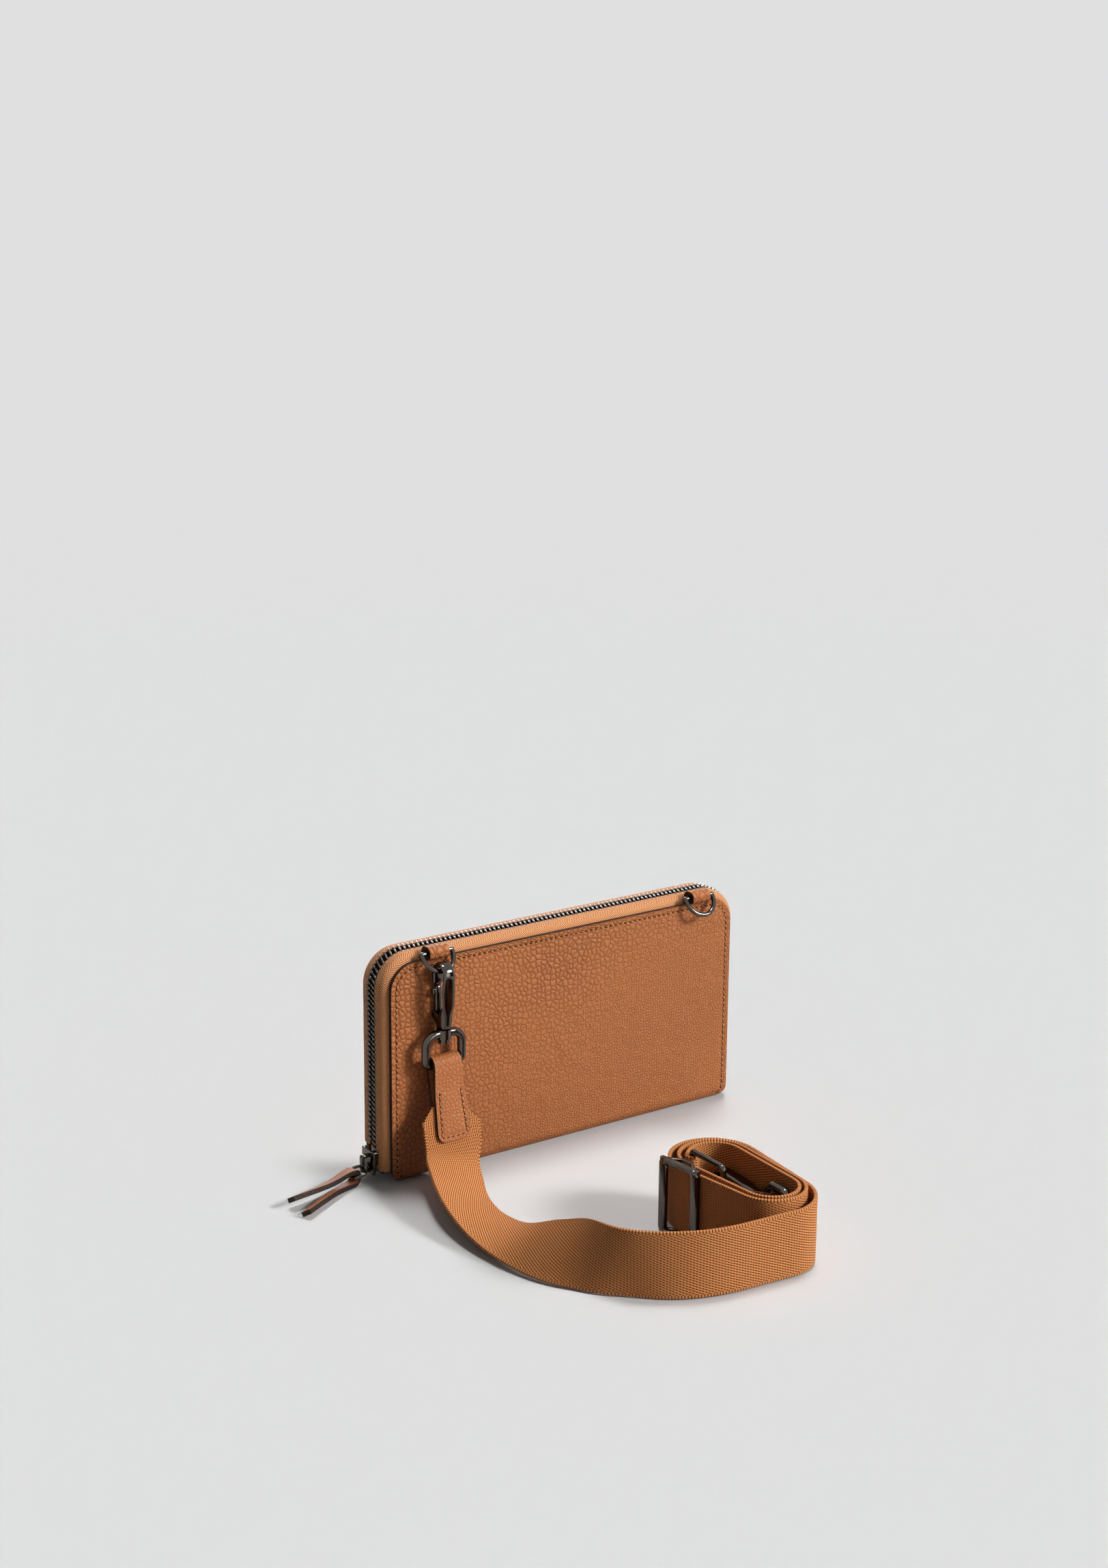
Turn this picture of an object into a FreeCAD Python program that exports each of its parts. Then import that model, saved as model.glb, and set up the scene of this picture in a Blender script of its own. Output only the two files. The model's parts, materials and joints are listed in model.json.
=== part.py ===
"""Zip-around leather phone pouch with a clip-on woven strap, as a parametric document.

Frame: millimetres, +Z up. The pouch stands on its spine with the origin under the middle of the spine,
X along the spine and -Y towards the side that carries the D-rings. The strap lies in front of that side.
"""
import FreeCAD
import Part
import Sketcher
import math
import os

Vec = FreeCAD.Vector
Turn = FreeCAD.Rotation
Place = FreeCAD.Placement

# Driving sizes, in millimetres and degrees.
SIZES = [
    # pouch
    ("pouch_width", 184.0),
    ("pouch_height", 100.0),
    ("pouch_depth", 22.0),
    ("corner_radius", 12.0),
    ("foot_corner", 7.0),
    ("cover_thickness", 2.0),
    ("spine_radius", 6.0),
    ("hinge_gap", 0.3),
    ("lining_thickness", 0.8),
    ("hem_margin", 0.5),
    # zip
    ("tape_hem", 8.0),
    ("tape_thickness", 0.8),
    ("zip_overhang", 3.0),
    ("zip_end_gap", 1.0),
    ("tooth_pitch", 2.31),
    ("tooth_length", 1.25),
    ("tooth_depth", 2.3),
    ("tooth_height", 2.4),
    ("chain_gap", 1.4),
    ("stop_length", 3.0),
    # slider and pull
    ("slider_base", 3.5),
    ("slider_length", 11.0),
    ("slider_width", 10.4),
    ("slider_plate", 1.3),
    ("slider_clearance", 0.35),
    ("slider_flange", 0.8),
    ("wedge_thickness", 0.6),
    ("wedge_length", 3.0),
    ("bail_width", 2.4),
    ("bail_bar", 1.4),
    ("bail_opening", 2.3),
    ("bail_length", 8.4),
    ("bail_base", 4.2),
    ("pull_ring_radius", 4.4),
    ("pull_ring_wire", 0.75),
    ("pull_droop", 17.0),
    ("pull_clearance", 0.3),
    ("strip_clearance", 0.5),
    ("strip_thickness", 1.8),
    ("strip_width", 5.0),
    ("strip_heading", 20.0),
    ("strip_spread", 9.0),
    ("upper_tail", 33.5),
    ("lower_tail", 36.5),
    ("upper_sag", 2.5),
    # loops and D-rings
    ("loop_width", 10.0),
    ("loop_leather", 1.5),
    ("loop_clearance", 0.3),
    ("loop_tongue", 6.0),
    ("loop_out", 1.2),
    ("loop_rise", 3.2),
    ("left_ring_inset", 22.2),
    ("right_ring_inset", 20.0),
    ("ring_wire", 1.05),
    ("ring_width", 15.0),
    ("ring_side", 1.5),
    ("ring_tilt", 35.6),
    # snap hook
    ("hook_turn", -90.0),
    ("eye_radius", 3.3),
    ("eye_drop", 1.3),
    ("hook_band", 2.2),
    ("hook_width", 5.4),
    ("nose_drop", 7.0),
    ("hook_throat", 18.2),
    ("hook_base", 25.6),
    ("base_half", 3.4),
    ("gate_width", 3.2),
    ("gate_clearance", 0.3),
    ("gate_pin_radius", 0.6),
    ("gate_pin_drop", 20.2),
    ("gate_nub", 1.4),
    ("gate_nub_length", 3.6),
    ("gate_nub_drop", 0.9),
    ("pin_clearance", 0.05),
    # swivel and its ring
    ("stem_radius", 1.5),
    ("swivel_clearance", 0.08),
    ("swivel_gap", 0.3),
    ("boss_radius", 3.3),
    ("boss_height", 4.2),
    ("rivet_radius", 2.5),
    ("rivet_height", 1.6),
    ("swivel_wire", 1.9),
    ("swivel_width", 18.2),
    ("swivel_length", 13.3),
    ("swivel_corner", 5.0),
    ("swivel_foot_corner", 2.2),
    # leather tab of the strap
    ("tab_leather", 1.6),
    ("tab_clearance", 0.3),
    ("tab_top_width", 13.6),
    ("tab_end_width", 17.0),
    ("tab_length", 34.0),
    ("tab_corner", 4.0),
    ("tab_tilt", 12.5),
    # woven strap
    ("strap_width", 28.5),
    ("strap_thickness", 1.5),
    ("strap_tip_width", 18.0),
    ("strap_tip_at", 18.0),
    ("strap_shoulder_at", 24.0),
    ("strap_margin", 2.0),
    ("floor_lift", 0.45),
    # adjuster and square ring on the roll
    ("glide_length", 22.0),
    ("glide_bar", 2.0),
    ("glide_bar_width", 2.6),
    ("glide_rail", 2.2),
    ("glide_clearance", 0.35),
    ("glide_at", 0.5),
    ("square_wire", 1.2),
    ("square_length", 21.0),
    ("square_corner", 1.5),
    ("square_clearance", 0.35),
    ("link_leather", 1.0),
    # inside
    ("gusset_thickness", 0.6),
    ("gusset_fold", 8.0),
    ("gusset_height", 72.0),
    ("card_width", 104.0),
    ("card_base", 10.0),
    ("card_leather", 0.8),
    ("card_low", 42.0),
    ("card_step", 14.0),
    ("pocket_inset", 8.5),
    ("pocket_height", 62.0),
]

# Chosen route of the strap from the tab to the floor: the place below the tab from which it is drawn, and its
# left and right edge, station by station. If the tab moves, the whole route moves with it, and the first
# stations follow its height.
DROP_FROM = (-69.8, -25.231, 19.435)
DROP_STATIONS = 6
STRAP_LEFT = [
    (-86.5, -28.6, 17.2), (-88.7, -33.9, 15.6), (-91.6, -41.4, 14.2), (-94.9, -50.6, 12.9), (-97.8, -61.1, 10.8),
    (-99.4, -72.4, 8.0), (-100.0, -84.1, 5.5), (-99.4, -95.8, 3.7), (-97.6, -107.3, 2.2), (-94.7, -118.2, 1.15),
    (-90.3, -127.9, 0.8), (-84.6, -136.5, 0.6), (-78.9, -144.8, -0.1),
]
STRAP_RIGHT = [
    (-57.5, -27.3, 10.9), (-60.5, -34.0, 5.7), (-64.2, -42.6, 2.5), (-67.7, -52.4, 1.5), (-69.7, -63.0, 1.5),
    (-70.1, -73.8, 2.4), (-70.0, -84.5, 4.8), (-70.0, -94.9, 9.5), (-70.5, -105.2, 14.8), (-71.6, -115.7, 19.55),
    (-73.2, -125.9, 24.1), (-74.8, -135.6, 27.6), (-74.3, -144.2, 29.3),
]
# Chosen route of the standing strap and its roll, seen from above: circles that it bends round, with their
# radius to the middle of the strap. All of them are passed with the circle on the strap's left.
ROLL_START = (-71.45, -151.95)
FIRST_BEND = (-24.8, -114.2)
ROLL_CIRCLES = [
    (*FIRST_BEND, math.dist(FIRST_BEND, ROLL_START)), (-3.0, -157.0, 19.0), (-1.0, -119.5, 19.0), (-1.0, -155.5, 14.5),
    (0.0, -118.2, 15.2), (-0.5, -155.0, 11.7), (1.0, -117.4, 11.6),
]
# How far the strap's inner end goes round the square ring's bar, in degrees.
ROLL_END_TURN = 200.0
# Shortest run of strap between two places of the roll that are measured against each other.
ROLL_GAP_RUN = 20.0
# The strap's faces are split after this many ribs.
RIBS_PER_FACE = 8
SQUARE_RING_AT = (-8.6, -113.5)
FAR_SWIVEL_AT = (6.6, -157.0)


class Size:
    """A number together with the sheet expression that drives it."""

    def __init__(self, value, text):
        self.value = float(value)
        self.text = text

    def __float__(self):
        return self.value

    def __neg__(self):
        return Size(-self.value, "-(%s)" % self.text)

    def __add__(self, other):
        other = as_size(other)
        return Size(self.value + other.value, "(%s + %s)" % (self.text, other.text))

    def __radd__(self, other):
        return as_size(other) + self

    def __sub__(self, other):
        other = as_size(other)
        return Size(self.value - other.value, "(%s - (%s))" % (self.text, other.text))

    def __rsub__(self, other):
        return as_size(other) - self

    def __mul__(self, other):
        other = as_size(other)
        return Size(self.value * other.value, "(%s) * (%s)" % (self.text, other.text))

    def __rmul__(self, other):
        return as_size(other) * self

    def __truediv__(self, other):
        other = as_size(other)
        return Size(self.value / other.value, "(%s) / (%s)" % (self.text, other.text))


def as_size(number):
    """Give a plain number the same interface as a sheet size."""
    return number if isinstance(number, Size) else Size(number, repr(float(number)))


def sine(angle):
    return Size(math.sin(math.radians(float(angle))), "sin(%s)" % angle.text)


def root(number):
    return Size(math.sqrt(float(number)), "sqrt(%s)" % number.text)


def cosine(angle):
    return Size(math.cos(math.radians(float(angle))), "cos(%s)" % angle.text)


doc = FreeCAD.newDocument("phone_pouch")
sheet = doc.addObject("Spreadsheet::Sheet", "sizes")
for row, (alias, number) in enumerate(SIZES, start=1):
    sheet.set("A%d" % row, alias)
    sheet.set("B%d" % row, repr(number))
    sheet.setAlias("B%d" % row, alias)
doc.recompute()

nodes = {}


def size(alias):
    """Read one driving size from the sheet."""
    return Size(getattr(sheet, alias), "sizes." + alias)


def bind(feature, prop, number):
    """Drive a property of a feature from the sheet."""
    number = as_size(number)
    feature.setExpression(prop, number.text)


def put(feature, x=0.0, y=0.0, z=0.0):
    """Drive the position of a feature from the sheet."""
    bind(feature, "Placement.Base.x", x)
    bind(feature, "Placement.Base.y", y)
    bind(feature, "Placement.Base.z", z)
    return feature


def keep(name, feature):
    """Register a finished piece under its own name."""
    feature.Label = name
    nodes[name] = feature
    return feature


def plane_of(body, role):
    return [item for item in body.Origin.OriginFeatures if item.Role == role][0]


def new_body(name):
    return doc.addObject("PartDesign::Body", name)


def new_sketch(body, role, low):
    """Add a sketch on one of the body's origin planes, moved to the coordinate low on that plane's axis."""
    sketch = body.newObject("Sketcher::SketchObject", body.Name + "_sketch")
    sketch.AttachmentSupport = [(plane_of(body, role), "")]
    sketch.MapMode = "FlatFace"
    low = as_size(low)
    bind(sketch, "AttachmentOffset.Base.z", -low if role == "XZ_Plane" else low)
    return sketch


def arc_through(start, end, centre):
    """Return the arc about a centre that runs counter-clockwise from start to end."""
    radius = math.hypot(start[0] - centre[0], start[1] - centre[1])
    first = math.atan2(start[1] - centre[1], start[0] - centre[0])
    last = math.atan2(end[1] - centre[1], end[0] - centre[0])
    middle = first + ((last - first) % (2 * math.pi)) / 2
    via = Vec(centre[0] + radius * math.cos(middle), centre[1] + radius * math.sin(middle), 0)
    return Part.Arc(Vec(start[0], start[1], 0), via, Vec(end[0], end[1], 0))


def pin_point(sketch, index, which, u, v):
    """Fix one point of a sketch by its two coordinates, driven from the sheet."""
    for kind, number, axis in (("DistanceX", as_size(u), -2), ("DistanceY", as_size(v), -1)):
        if abs(number.value) < 1e-9:
            sketch.addConstraint(Sketcher.Constraint("PointOnObject", index, which, axis))
        else:
            made = sketch.addConstraint(Sketcher.Constraint(kind, -1, 1, index, which, number.value))
            bind(sketch, "Constraints[%d]" % made, number)


def draw(sketch, outline, closed=True):
    """Draw a fully constrained chain of lines and arcs.

    Each entry is (u, v) for a point with a line to the next one, or (u, v, centre_u, centre_v, left) for a
    point with an arc to the next one.
    """
    first = sketch.GeometryCount
    count = len(outline)
    last = count if closed else count - 1
    heads = []
    for step in range(last):
        here = outline[step]
        there = outline[(step + 1) % count]
        start = (float(here[0]), float(here[1]))
        end = (float(there[0]), float(there[1]))
        if len(here) == 2:
            sketch.addGeometry(Part.LineSegment(Vec(start[0], start[1], 0), Vec(end[0], end[1], 0)), False)
            heads.append(1)
            continue
        centre = (float(here[2]), float(here[3]))
        if here[4]:
            sketch.addGeometry(arc_through(start, end, centre), False)
            heads.append(1)
        else:
            sketch.addGeometry(arc_through(end, start, centre), False)
            heads.append(2)
    for step in range(last):
        if closed or step < last - 1:
            follow = (step + 1) % count
            sketch.addConstraint(Sketcher.Constraint("Coincident", first + step, 3 - heads[step],
                                                     first + follow, heads[follow]))
    for step in range(last):
        pin_point(sketch, first + step, heads[step], outline[step][0], outline[step][1])
    if not closed:
        pin_point(sketch, first + last - 1, 3 - heads[-1], outline[-1][0], outline[-1][1])
    for step in range(last):
        here = outline[step]
        if len(here) == 2:
            continue
        there = outline[(step + 1) % count]
        across = abs(float(there[0]) - float(here[0])) > abs(float(there[1]) - float(here[1]))
        kind, number = ("DistanceY", as_size(here[3])) if across else ("DistanceX", as_size(here[2]))
        if abs(number.value) < 1e-9:
            axis = -1 if across else -2
            sketch.addConstraint(Sketcher.Constraint("PointOnObject", first + step, 3, axis))
        else:
            made = sketch.addConstraint(Sketcher.Constraint(kind, -1, 1, first + step, 3, number.value))
            bind(sketch, "Constraints[%d]" % made, number)
    return sketch


def rectangle(u0, v0, u1, v1):
    return [(u0, v0), (u1, v0), (u1, v1), (u0, v1)]


def pad(body, role, outlines, low, thickness):
    """Pad one or more outlines of a plane from the coordinate low by a thickness along the plane's axis."""
    sketch = new_sketch(body, role, low)
    for outline in outlines:
        draw(sketch, outline)
    feature = body.newObject("PartDesign::Pad", body.Name + "_pad")
    feature.Profile = sketch
    bind(feature, "Length", thickness)
    feature.Reversed = role == "XZ_Plane"
    doc.recompute()
    return feature


def pocket(body, role, outline, low, thickness):
    """Cut an outline of a plane away from the coordinate low by a depth along the plane's axis."""
    before = body.Shape.Volume
    sketch = new_sketch(body, role, low)
    draw(sketch, outline)
    feature = body.newObject("PartDesign::Pocket", body.Name + "_pocket")
    feature.Profile = sketch
    bind(feature, "Length", thickness)
    feature.Reversed = role != "XZ_Plane"
    doc.recompute()
    if body.Shape.Volume > before - 1e-6:
        raise RuntimeError("the pocket of %s cuts nothing" % body.Name)
    return feature


def round_edges(body, base, radius, wanted):
    """Fillet the edges of a body's last feature for which wanted(edge) holds."""
    names = ["Edge%d" % (number + 1) for number, edge in enumerate(base.Shape.Edges) if wanted(edge)]
    feature = body.newObject("PartDesign::Fillet", body.Name + "_round")
    feature.Base = (base, names)
    bind(feature, "Radius", radius)
    doc.recompute()
    return feature


def runs_along(edge, axis):
    """Tell whether an edge is a straight one along X, Y or Z (0, 1 or 2)."""
    ends = [vertex.Point for vertex in edge.Vertexes]
    if len(ends) != 2:
        return False
    return all(abs(ends[0][other] - ends[1][other]) < 1e-6 for other in range(3) if other != axis)


def plate(name, role, outline, low, thickness):
    body = new_body(name)
    pad(body, role, [outline], low, thickness)
    return body


def box(name, corner, spans):
    feature = doc.addObject("Part::Box", name)
    for prop, span in zip(("Length", "Width", "Height"), spans):
        bind(feature, prop, span)
    return put(feature, *corner)


def cylinder(name, radius, length, start, axis="Z"):
    feature = doc.addObject("Part::Cylinder", name)
    bind(feature, "Radius", radius)
    bind(feature, "Height", length)
    turns = {"X": Turn(Vec(0, 1, 0), 90), "Y": Turn(Vec(1, 0, 0), -90), "Z": Turn()}
    feature.Placement = Place(Vec(), turns[axis])
    return put(feature, *start)


def torus(name, radius, wire, centre, turn, sweep=360.0):
    """Add a ring of wire, or the part of it that a sweep from its local X axis covers."""
    feature = doc.addObject("Part::Torus", name)
    bind(feature, "Radius1", radius)
    bind(feature, "Radius2", wire)
    feature.Angle3 = sweep
    feature.Placement = Place(Vec(), turn)
    return put(feature, *centre)


def ball(name, radius, centre):
    feature = doc.addObject("Part::Sphere", name)
    bind(feature, "Radius", radius)
    return put(feature, *centre)


def fuse(name, parts):
    feature = doc.addObject("Part::MultiFuse", name)
    feature.Shapes = parts
    feature.Refine = True
    return feature


def cut(name, base, tool):
    feature = doc.addObject("Part::Cut", name)
    feature.Base = base
    feature.Tool = tool
    return feature


def frame_of_wire(name, wire, half_width, top, bottom, head_corner, foot_corner):
    """Build a rounded rectangle of round wire in the local XZ plane."""
    flat = Turn(Vec(1, 0, 0), 90)
    head_side = half_width - head_corner
    foot_side = half_width - foot_corner
    upright = top - head_corner - bottom - foot_corner
    parts = [
        cylinder(name + "_top", wire, head_side * 2, (-head_side, 0.0, top), "X"),
        cylinder(name + "_bottom", wire, foot_side * 2, (-foot_side, 0.0, bottom), "X"),
        cylinder(name + "_left", wire, upright, (-half_width, 0.0, bottom + foot_corner)),
        cylinder(name + "_right", wire, upright, (half_width, 0.0, bottom + foot_corner)),
    ]
    corners = [(head_side, top - head_corner, head_corner), (-head_side, top - head_corner, head_corner),
               (-foot_side, bottom + foot_corner, foot_corner), (foot_side, bottom + foot_corner, foot_corner)]
    for number, (x, z, radius) in enumerate(corners):
        turn = flat.multiply(Turn(Vec(0, 0, 1), 90.0 * number))
        parts.append(torus("%s_corner%d" % (name, number), radius, wire, (x, 0.0, z), turn, 90.0))
    return fuse(name, parts)


# Cover, linings and inside pieces

half_width = size("pouch_width") / 2
half_depth = size("pouch_depth") / 2
height = size("pouch_height")
leather = size("cover_thickness")
bend = size("spine_radius")
lining = size("lining_thickness")
corner = size("corner_radius")
inner_face = half_depth - leather


def is_top_corner(edge):
    return runs_along(edge, 1) and edge.Vertexes[0].Z > float(height) - 1e-6


front_cover = new_body("front_cover")
panel = pad(front_cover, "XZ_Plane", [rectangle(-half_width, bend, half_width, height)], -half_depth, leather)
panel = round_edges(front_cover, panel, corner, is_top_corner)
inner_bend = bend - leather
spine_outline = [
    (-half_depth, bend, -half_depth + bend, bend, True),
    (-half_depth + bend, 0.0),
    (half_depth - bend, 0.0, half_depth - bend, bend, True),
    (half_depth, bend),
    (inner_face, bend, half_depth - bend, bend, False),
    (half_depth - bend, leather),
    (-half_depth + bend, leather, -half_depth + bend, bend, False),
    (-inner_face, bend),
]
pad(front_cover, "YZ_Plane", [spine_outline], -half_width, half_width * 2)
foot = size("foot_corner")
for side in (-1.0, 1.0):
    end_x = half_width * side
    foot_x = (half_width - foot) * side
    foot_cut = [(end_x, 0.0), (foot_x, 0.0, foot_x, foot, side > 0), (end_x, foot)]
    pocket(front_cover, "XZ_Plane", foot_cut, -half_depth, half_depth * 2)
keep("front_cover", front_cover)

rear_low = bend + size("hinge_gap")
rear_cover = new_body("rear_cover")
panel = pad(rear_cover, "XZ_Plane", [rectangle(-half_width, rear_low, half_width, height)], inner_face, leather)
round_edges(rear_cover, panel, corner, is_top_corner)
keep("rear_cover", rear_cover)

lining_inset = size("tape_hem") + size("hem_margin")
lining_half = half_width - lining_inset
lining_top = height - lining_inset
lining_low = rear_low + size("hem_margin")
lining_face = inner_face - lining
lining_corner = corner - lining_inset
lining_outline = [
    (-lining_half, lining_low), (lining_half, lining_low),
    (lining_half, lining_top - lining_corner, lining_half - lining_corner, lining_top - lining_corner, True),
    (lining_half - lining_corner, lining_top),
    (-lining_half + lining_corner, lining_top, -lining_half + lining_corner, lining_top - lining_corner, True),
    (-lining_half, lining_top - lining_corner),
]
keep("front_lining", plate("front_lining", "XZ_Plane", lining_outline, -inner_face, lining))
keep("rear_lining", plate("rear_lining", "XZ_Plane", lining_outline, lining_face, lining))

pocket_half = lining_half - size("pocket_inset")
card_leather = size("card_leather")
keep("slip_pocket", plate("slip_pocket", "XZ_Plane",
                          rectangle(-pocket_half, lining_low, pocket_half, lining_low + size("pocket_height")),
                          -lining_face, card_leather))
card_half = size("card_width") / 2
for number in range(3):
    face = lining_face - card_leather * (number + 1)
    top = size("card_low") + size("card_step") * (2 - number)
    name = "card_slot_%d" % (number + 1)
    outline = rectangle(-card_half, size("card_base"), card_half, top)
    keep(name, plate(name, "XZ_Plane", outline, face, card_leather))

gusset = size("gusset_thickness")
fold = size("gusset_fold")
for name, side in (("left_gusset", -1.0), ("right_gusset", 1.0)):
    edge_x = lining_half * side
    tip_x = (lining_half - fold) * side
    inner = gusset * -side
    outline = [(edge_x, -lining_face), (tip_x, -gusset), (tip_x, gusset), (edge_x, lining_face),
               (edge_x + inner * 1.5, lining_face), (tip_x + inner * 1.5, gusset), (tip_x + inner * 1.5, -gusset),
               (edge_x + inner * 1.5, -lining_face)]
    keep(name, plate(name, "XY_Plane", outline, lining_low, size("gusset_height")))

# Zip: two tape halves that bulge past the covers, with their teeth

tape = size("tape_thickness")
overhang = size("zip_overhang")
chain_edge = size("chain_gap") / 2
tooth_root = chain_edge + size("tooth_depth")
bulge = overhang - tape / 2
bulge_centre = inner_face - tape - bulge


def tape_half(name, side, start):
    """Sweep one tape half along the edge of its cover: side -1 is the front half, 1 the rear half."""
    body = new_body(name)
    path = new_sketch(body, "XZ_Plane", 0.0)
    draw(path, [(-half_width, start), (-half_width, height - corner, -half_width + corner, height - corner, False),
                (-half_width + corner, height),
                (half_width - corner, height, half_width - corner, height - corner, False),
                (half_width, height - corner), (half_width, start)], closed=False)
    section = new_sketch(body, "XY_Plane", start)
    outer = bulge + tape
    turn_left = side > 0
    draw(section, [
        (-half_width + size("tape_hem"), inner_face * side),
        (-half_width, inner_face * side, -half_width, bulge_centre * side, turn_left),
        (-half_width - outer, bulge_centre * side),
        (-half_width - outer, tooth_root * side),
        (-half_width - bulge, tooth_root * side),
        (-half_width - bulge, bulge_centre * side, -half_width, bulge_centre * side, not turn_left),
        (-half_width, (inner_face - tape) * side),
        (-half_width + size("tape_hem"), (inner_face - tape) * side),
    ])
    sweep = body.newObject("PartDesign::AdditivePipe", name + "_sweep")
    sweep.Profile = section
    sweep.Spine = (path, ["Edge%d" % (number + 1) for number in range(5)])
    doc.recompute()
    return body


def chain_point(distance, start):
    """Return the place and direction of the chain at a distance from its lower left end."""
    out = float(half_width) + float(overhang)
    turn_radius = float(corner) + float(overhang)
    rise = float(height) - float(corner) - start
    quarter = turn_radius * math.pi / 2
    across = 2 * (float(half_width) - float(corner))
    top = float(height) + float(overhang)
    if distance < rise:
        return Vec(-out, 0, start + distance), 90.0
    distance -= rise
    if distance < quarter:
        angle = distance / turn_radius
        centre = Vec(-float(half_width) + float(corner), 0, float(height) - float(corner))
        return centre + Vec(-math.cos(angle), 0, math.sin(angle)) * turn_radius, 90.0 - math.degrees(angle)
    distance -= quarter
    if distance < across:
        return Vec(-float(half_width) + float(corner) + distance, 0, top), 0.0
    distance -= across
    if distance < quarter:
        angle = distance / turn_radius
        centre = Vec(float(half_width) - float(corner), 0, float(height) - float(corner))
        return centre + Vec(math.sin(angle), 0, math.cos(angle)) * turn_radius, -math.degrees(angle)
    distance -= quarter
    return Vec(out, 0, float(height) - float(corner) - distance), -90.0


def teeth_row(name, side, start, shift):
    """Set a row of teeth along the edge of a tape half."""
    turn_radius = float(corner) + float(overhang)
    length = (2 * (float(height) - float(corner) - start) + turn_radius * math.pi
              + 2 * (float(half_width) - float(corner)))
    pitch = float(size("tooth_pitch"))
    along = float(size("tooth_length"))
    deep = float(size("tooth_depth"))
    tall = float(size("tooth_height"))
    low = float(chain_edge) if side > 0 else -float(tooth_root)
    teeth = []
    distance = along / 2 + shift
    while distance < length - along / 2:
        spot, angle = chain_point(distance, start)
        tooth = Part.makeBox(along, deep, tall, Vec(-along / 2, low, -tall / 2))
        tooth.Placement = Place(spot, Turn(Vec(0, 1, 0), -angle))
        teeth.append(tooth)
        distance += pitch
    feature = doc.addObject("Part::Feature", name)
    feature.Shape = Part.makeCompound(teeth)
    return feature


left_ring_x = -half_width + size("left_ring_inset")
right_ring_x = half_width - size("right_ring_inset")
tab_spots = (left_ring_x, right_ring_x)
loop_half = size("loop_width") / 2
tongue_low = height - size("loop_tongue")
tape_start = bend
zip_end = size("slider_base") + size("slider_length") + size("zip_end_gap")
whole_tape = tape_half("front_tape_whole", -1.0, tape_start)
notches = []
for name, spot in zip(("left_notch", "right_notch"), tab_spots):
    notches.append(box(name, (spot - loop_half, -inner_face, tongue_low),
                       (size("loop_width"), size("loop_leather"), size("loop_tongue") + overhang * 2)))
keep("front_tape", cut("front_tape", whole_tape, fuse("tape_notches", notches)))
keep("rear_tape", tape_half("rear_tape", 1.0, zip_end))
half_pitch = float(size("tooth_pitch")) / 2
keep("front_teeth", teeth_row("front_teeth", -1.0, float(tape_start), 0.0))
keep("rear_teeth", teeth_row("rear_teeth", 1.0, float(zip_end), half_pitch))

chain_x = half_width + overhang
tooth_half = size("tooth_height") / 2
keep("zip_stop", box("zip_stop", (chain_x - tooth_half, -chain_edge, tape_start),
                     (size("tooth_height"), size("chain_gap"), size("stop_length"))))

# Slider with its bail, pull ring and folded leather strip

gap = size("slider_clearance")
plate_thickness = size("slider_plate")
slider_half = size("slider_width") / 2
slider_base = size("slider_base")
outer_face = -(chain_x + tooth_half + gap)
inner_plate = -(chain_x - tooth_half - gap)
flange = size("slider_flange")
slider_out = outer_face - plate_thickness
slider_top = slider_base + size("slider_length")
wedge_half = size("wedge_thickness") / 2
slider = new_body("slider_body")
taper = slider_half * 0.78
pad(slider, "YZ_Plane", [[(-taper, slider_base), (taper, slider_base), (slider_half, slider_base + slider_half),
                          (slider_half, slider_top), (-slider_half, slider_top),
                          (-slider_half, slider_base + slider_half)]], slider_out, plate_thickness)
pad(slider, "YZ_Plane", [rectangle(-wedge_half, slider_base, wedge_half, slider_base + size("wedge_length"))],
    outer_face, inner_plate - outer_face)
pad(slider, "YZ_Plane", [rectangle(-slider_half + flange, slider_base, slider_half - flange, slider_top)],
    inner_plate, plate_thickness)
for low in (-slider_half, slider_half - flange):
    pad(slider, "YZ_Plane", [rectangle(low, slider_base + slider_half, low + flange, slider_top)],
        outer_face, flange)
keep("slider_body", slider)

bail_bar = size("bail_bar")
bail_low = size("bail_base")
bail_high = bail_low + size("bail_length")
bail_out = slider_out - size("bail_opening") - bail_bar
bail_half = size("bail_width") / 2
bail = new_body("slider_bail")
arch = pad(bail, "XZ_Plane", [[(slider_out, bail_low), (slider_out, bail_low + bail_bar),
                               (bail_out + bail_bar, bail_low + bail_bar), (bail_out + bail_bar, bail_high - bail_bar),
                               (slider_out, bail_high - bail_bar), (slider_out, bail_high),
                               (bail_out, bail_high), (bail_out, bail_low)]], -bail_half, size("bail_width"))
round_edges(bail, arch, bail_bar * 0.8,
            lambda edge: runs_along(edge, 1) and edge.Vertexes[0].X < float(bail_out) + 1e-6)
keep("slider_bail", bail)

pull_wire = size("pull_ring_wire")
pull_radius = size("pull_ring_radius")
droop = size("pull_droop")
pull_x = bail_out + bail_bar + pull_wire + size("pull_clearance")
pull_z = bail_low + bail_bar + pull_wire + size("pull_clearance")
pull_ring = torus("pull_ring", pull_radius, pull_wire,
                  (pull_x - pull_radius * cosine(droop), 0.0, pull_z - pull_radius * sine(droop)),
                  Turn(Vec(0, 1, 0), -float(droop)))
keep("pull_ring", pull_ring)

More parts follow.
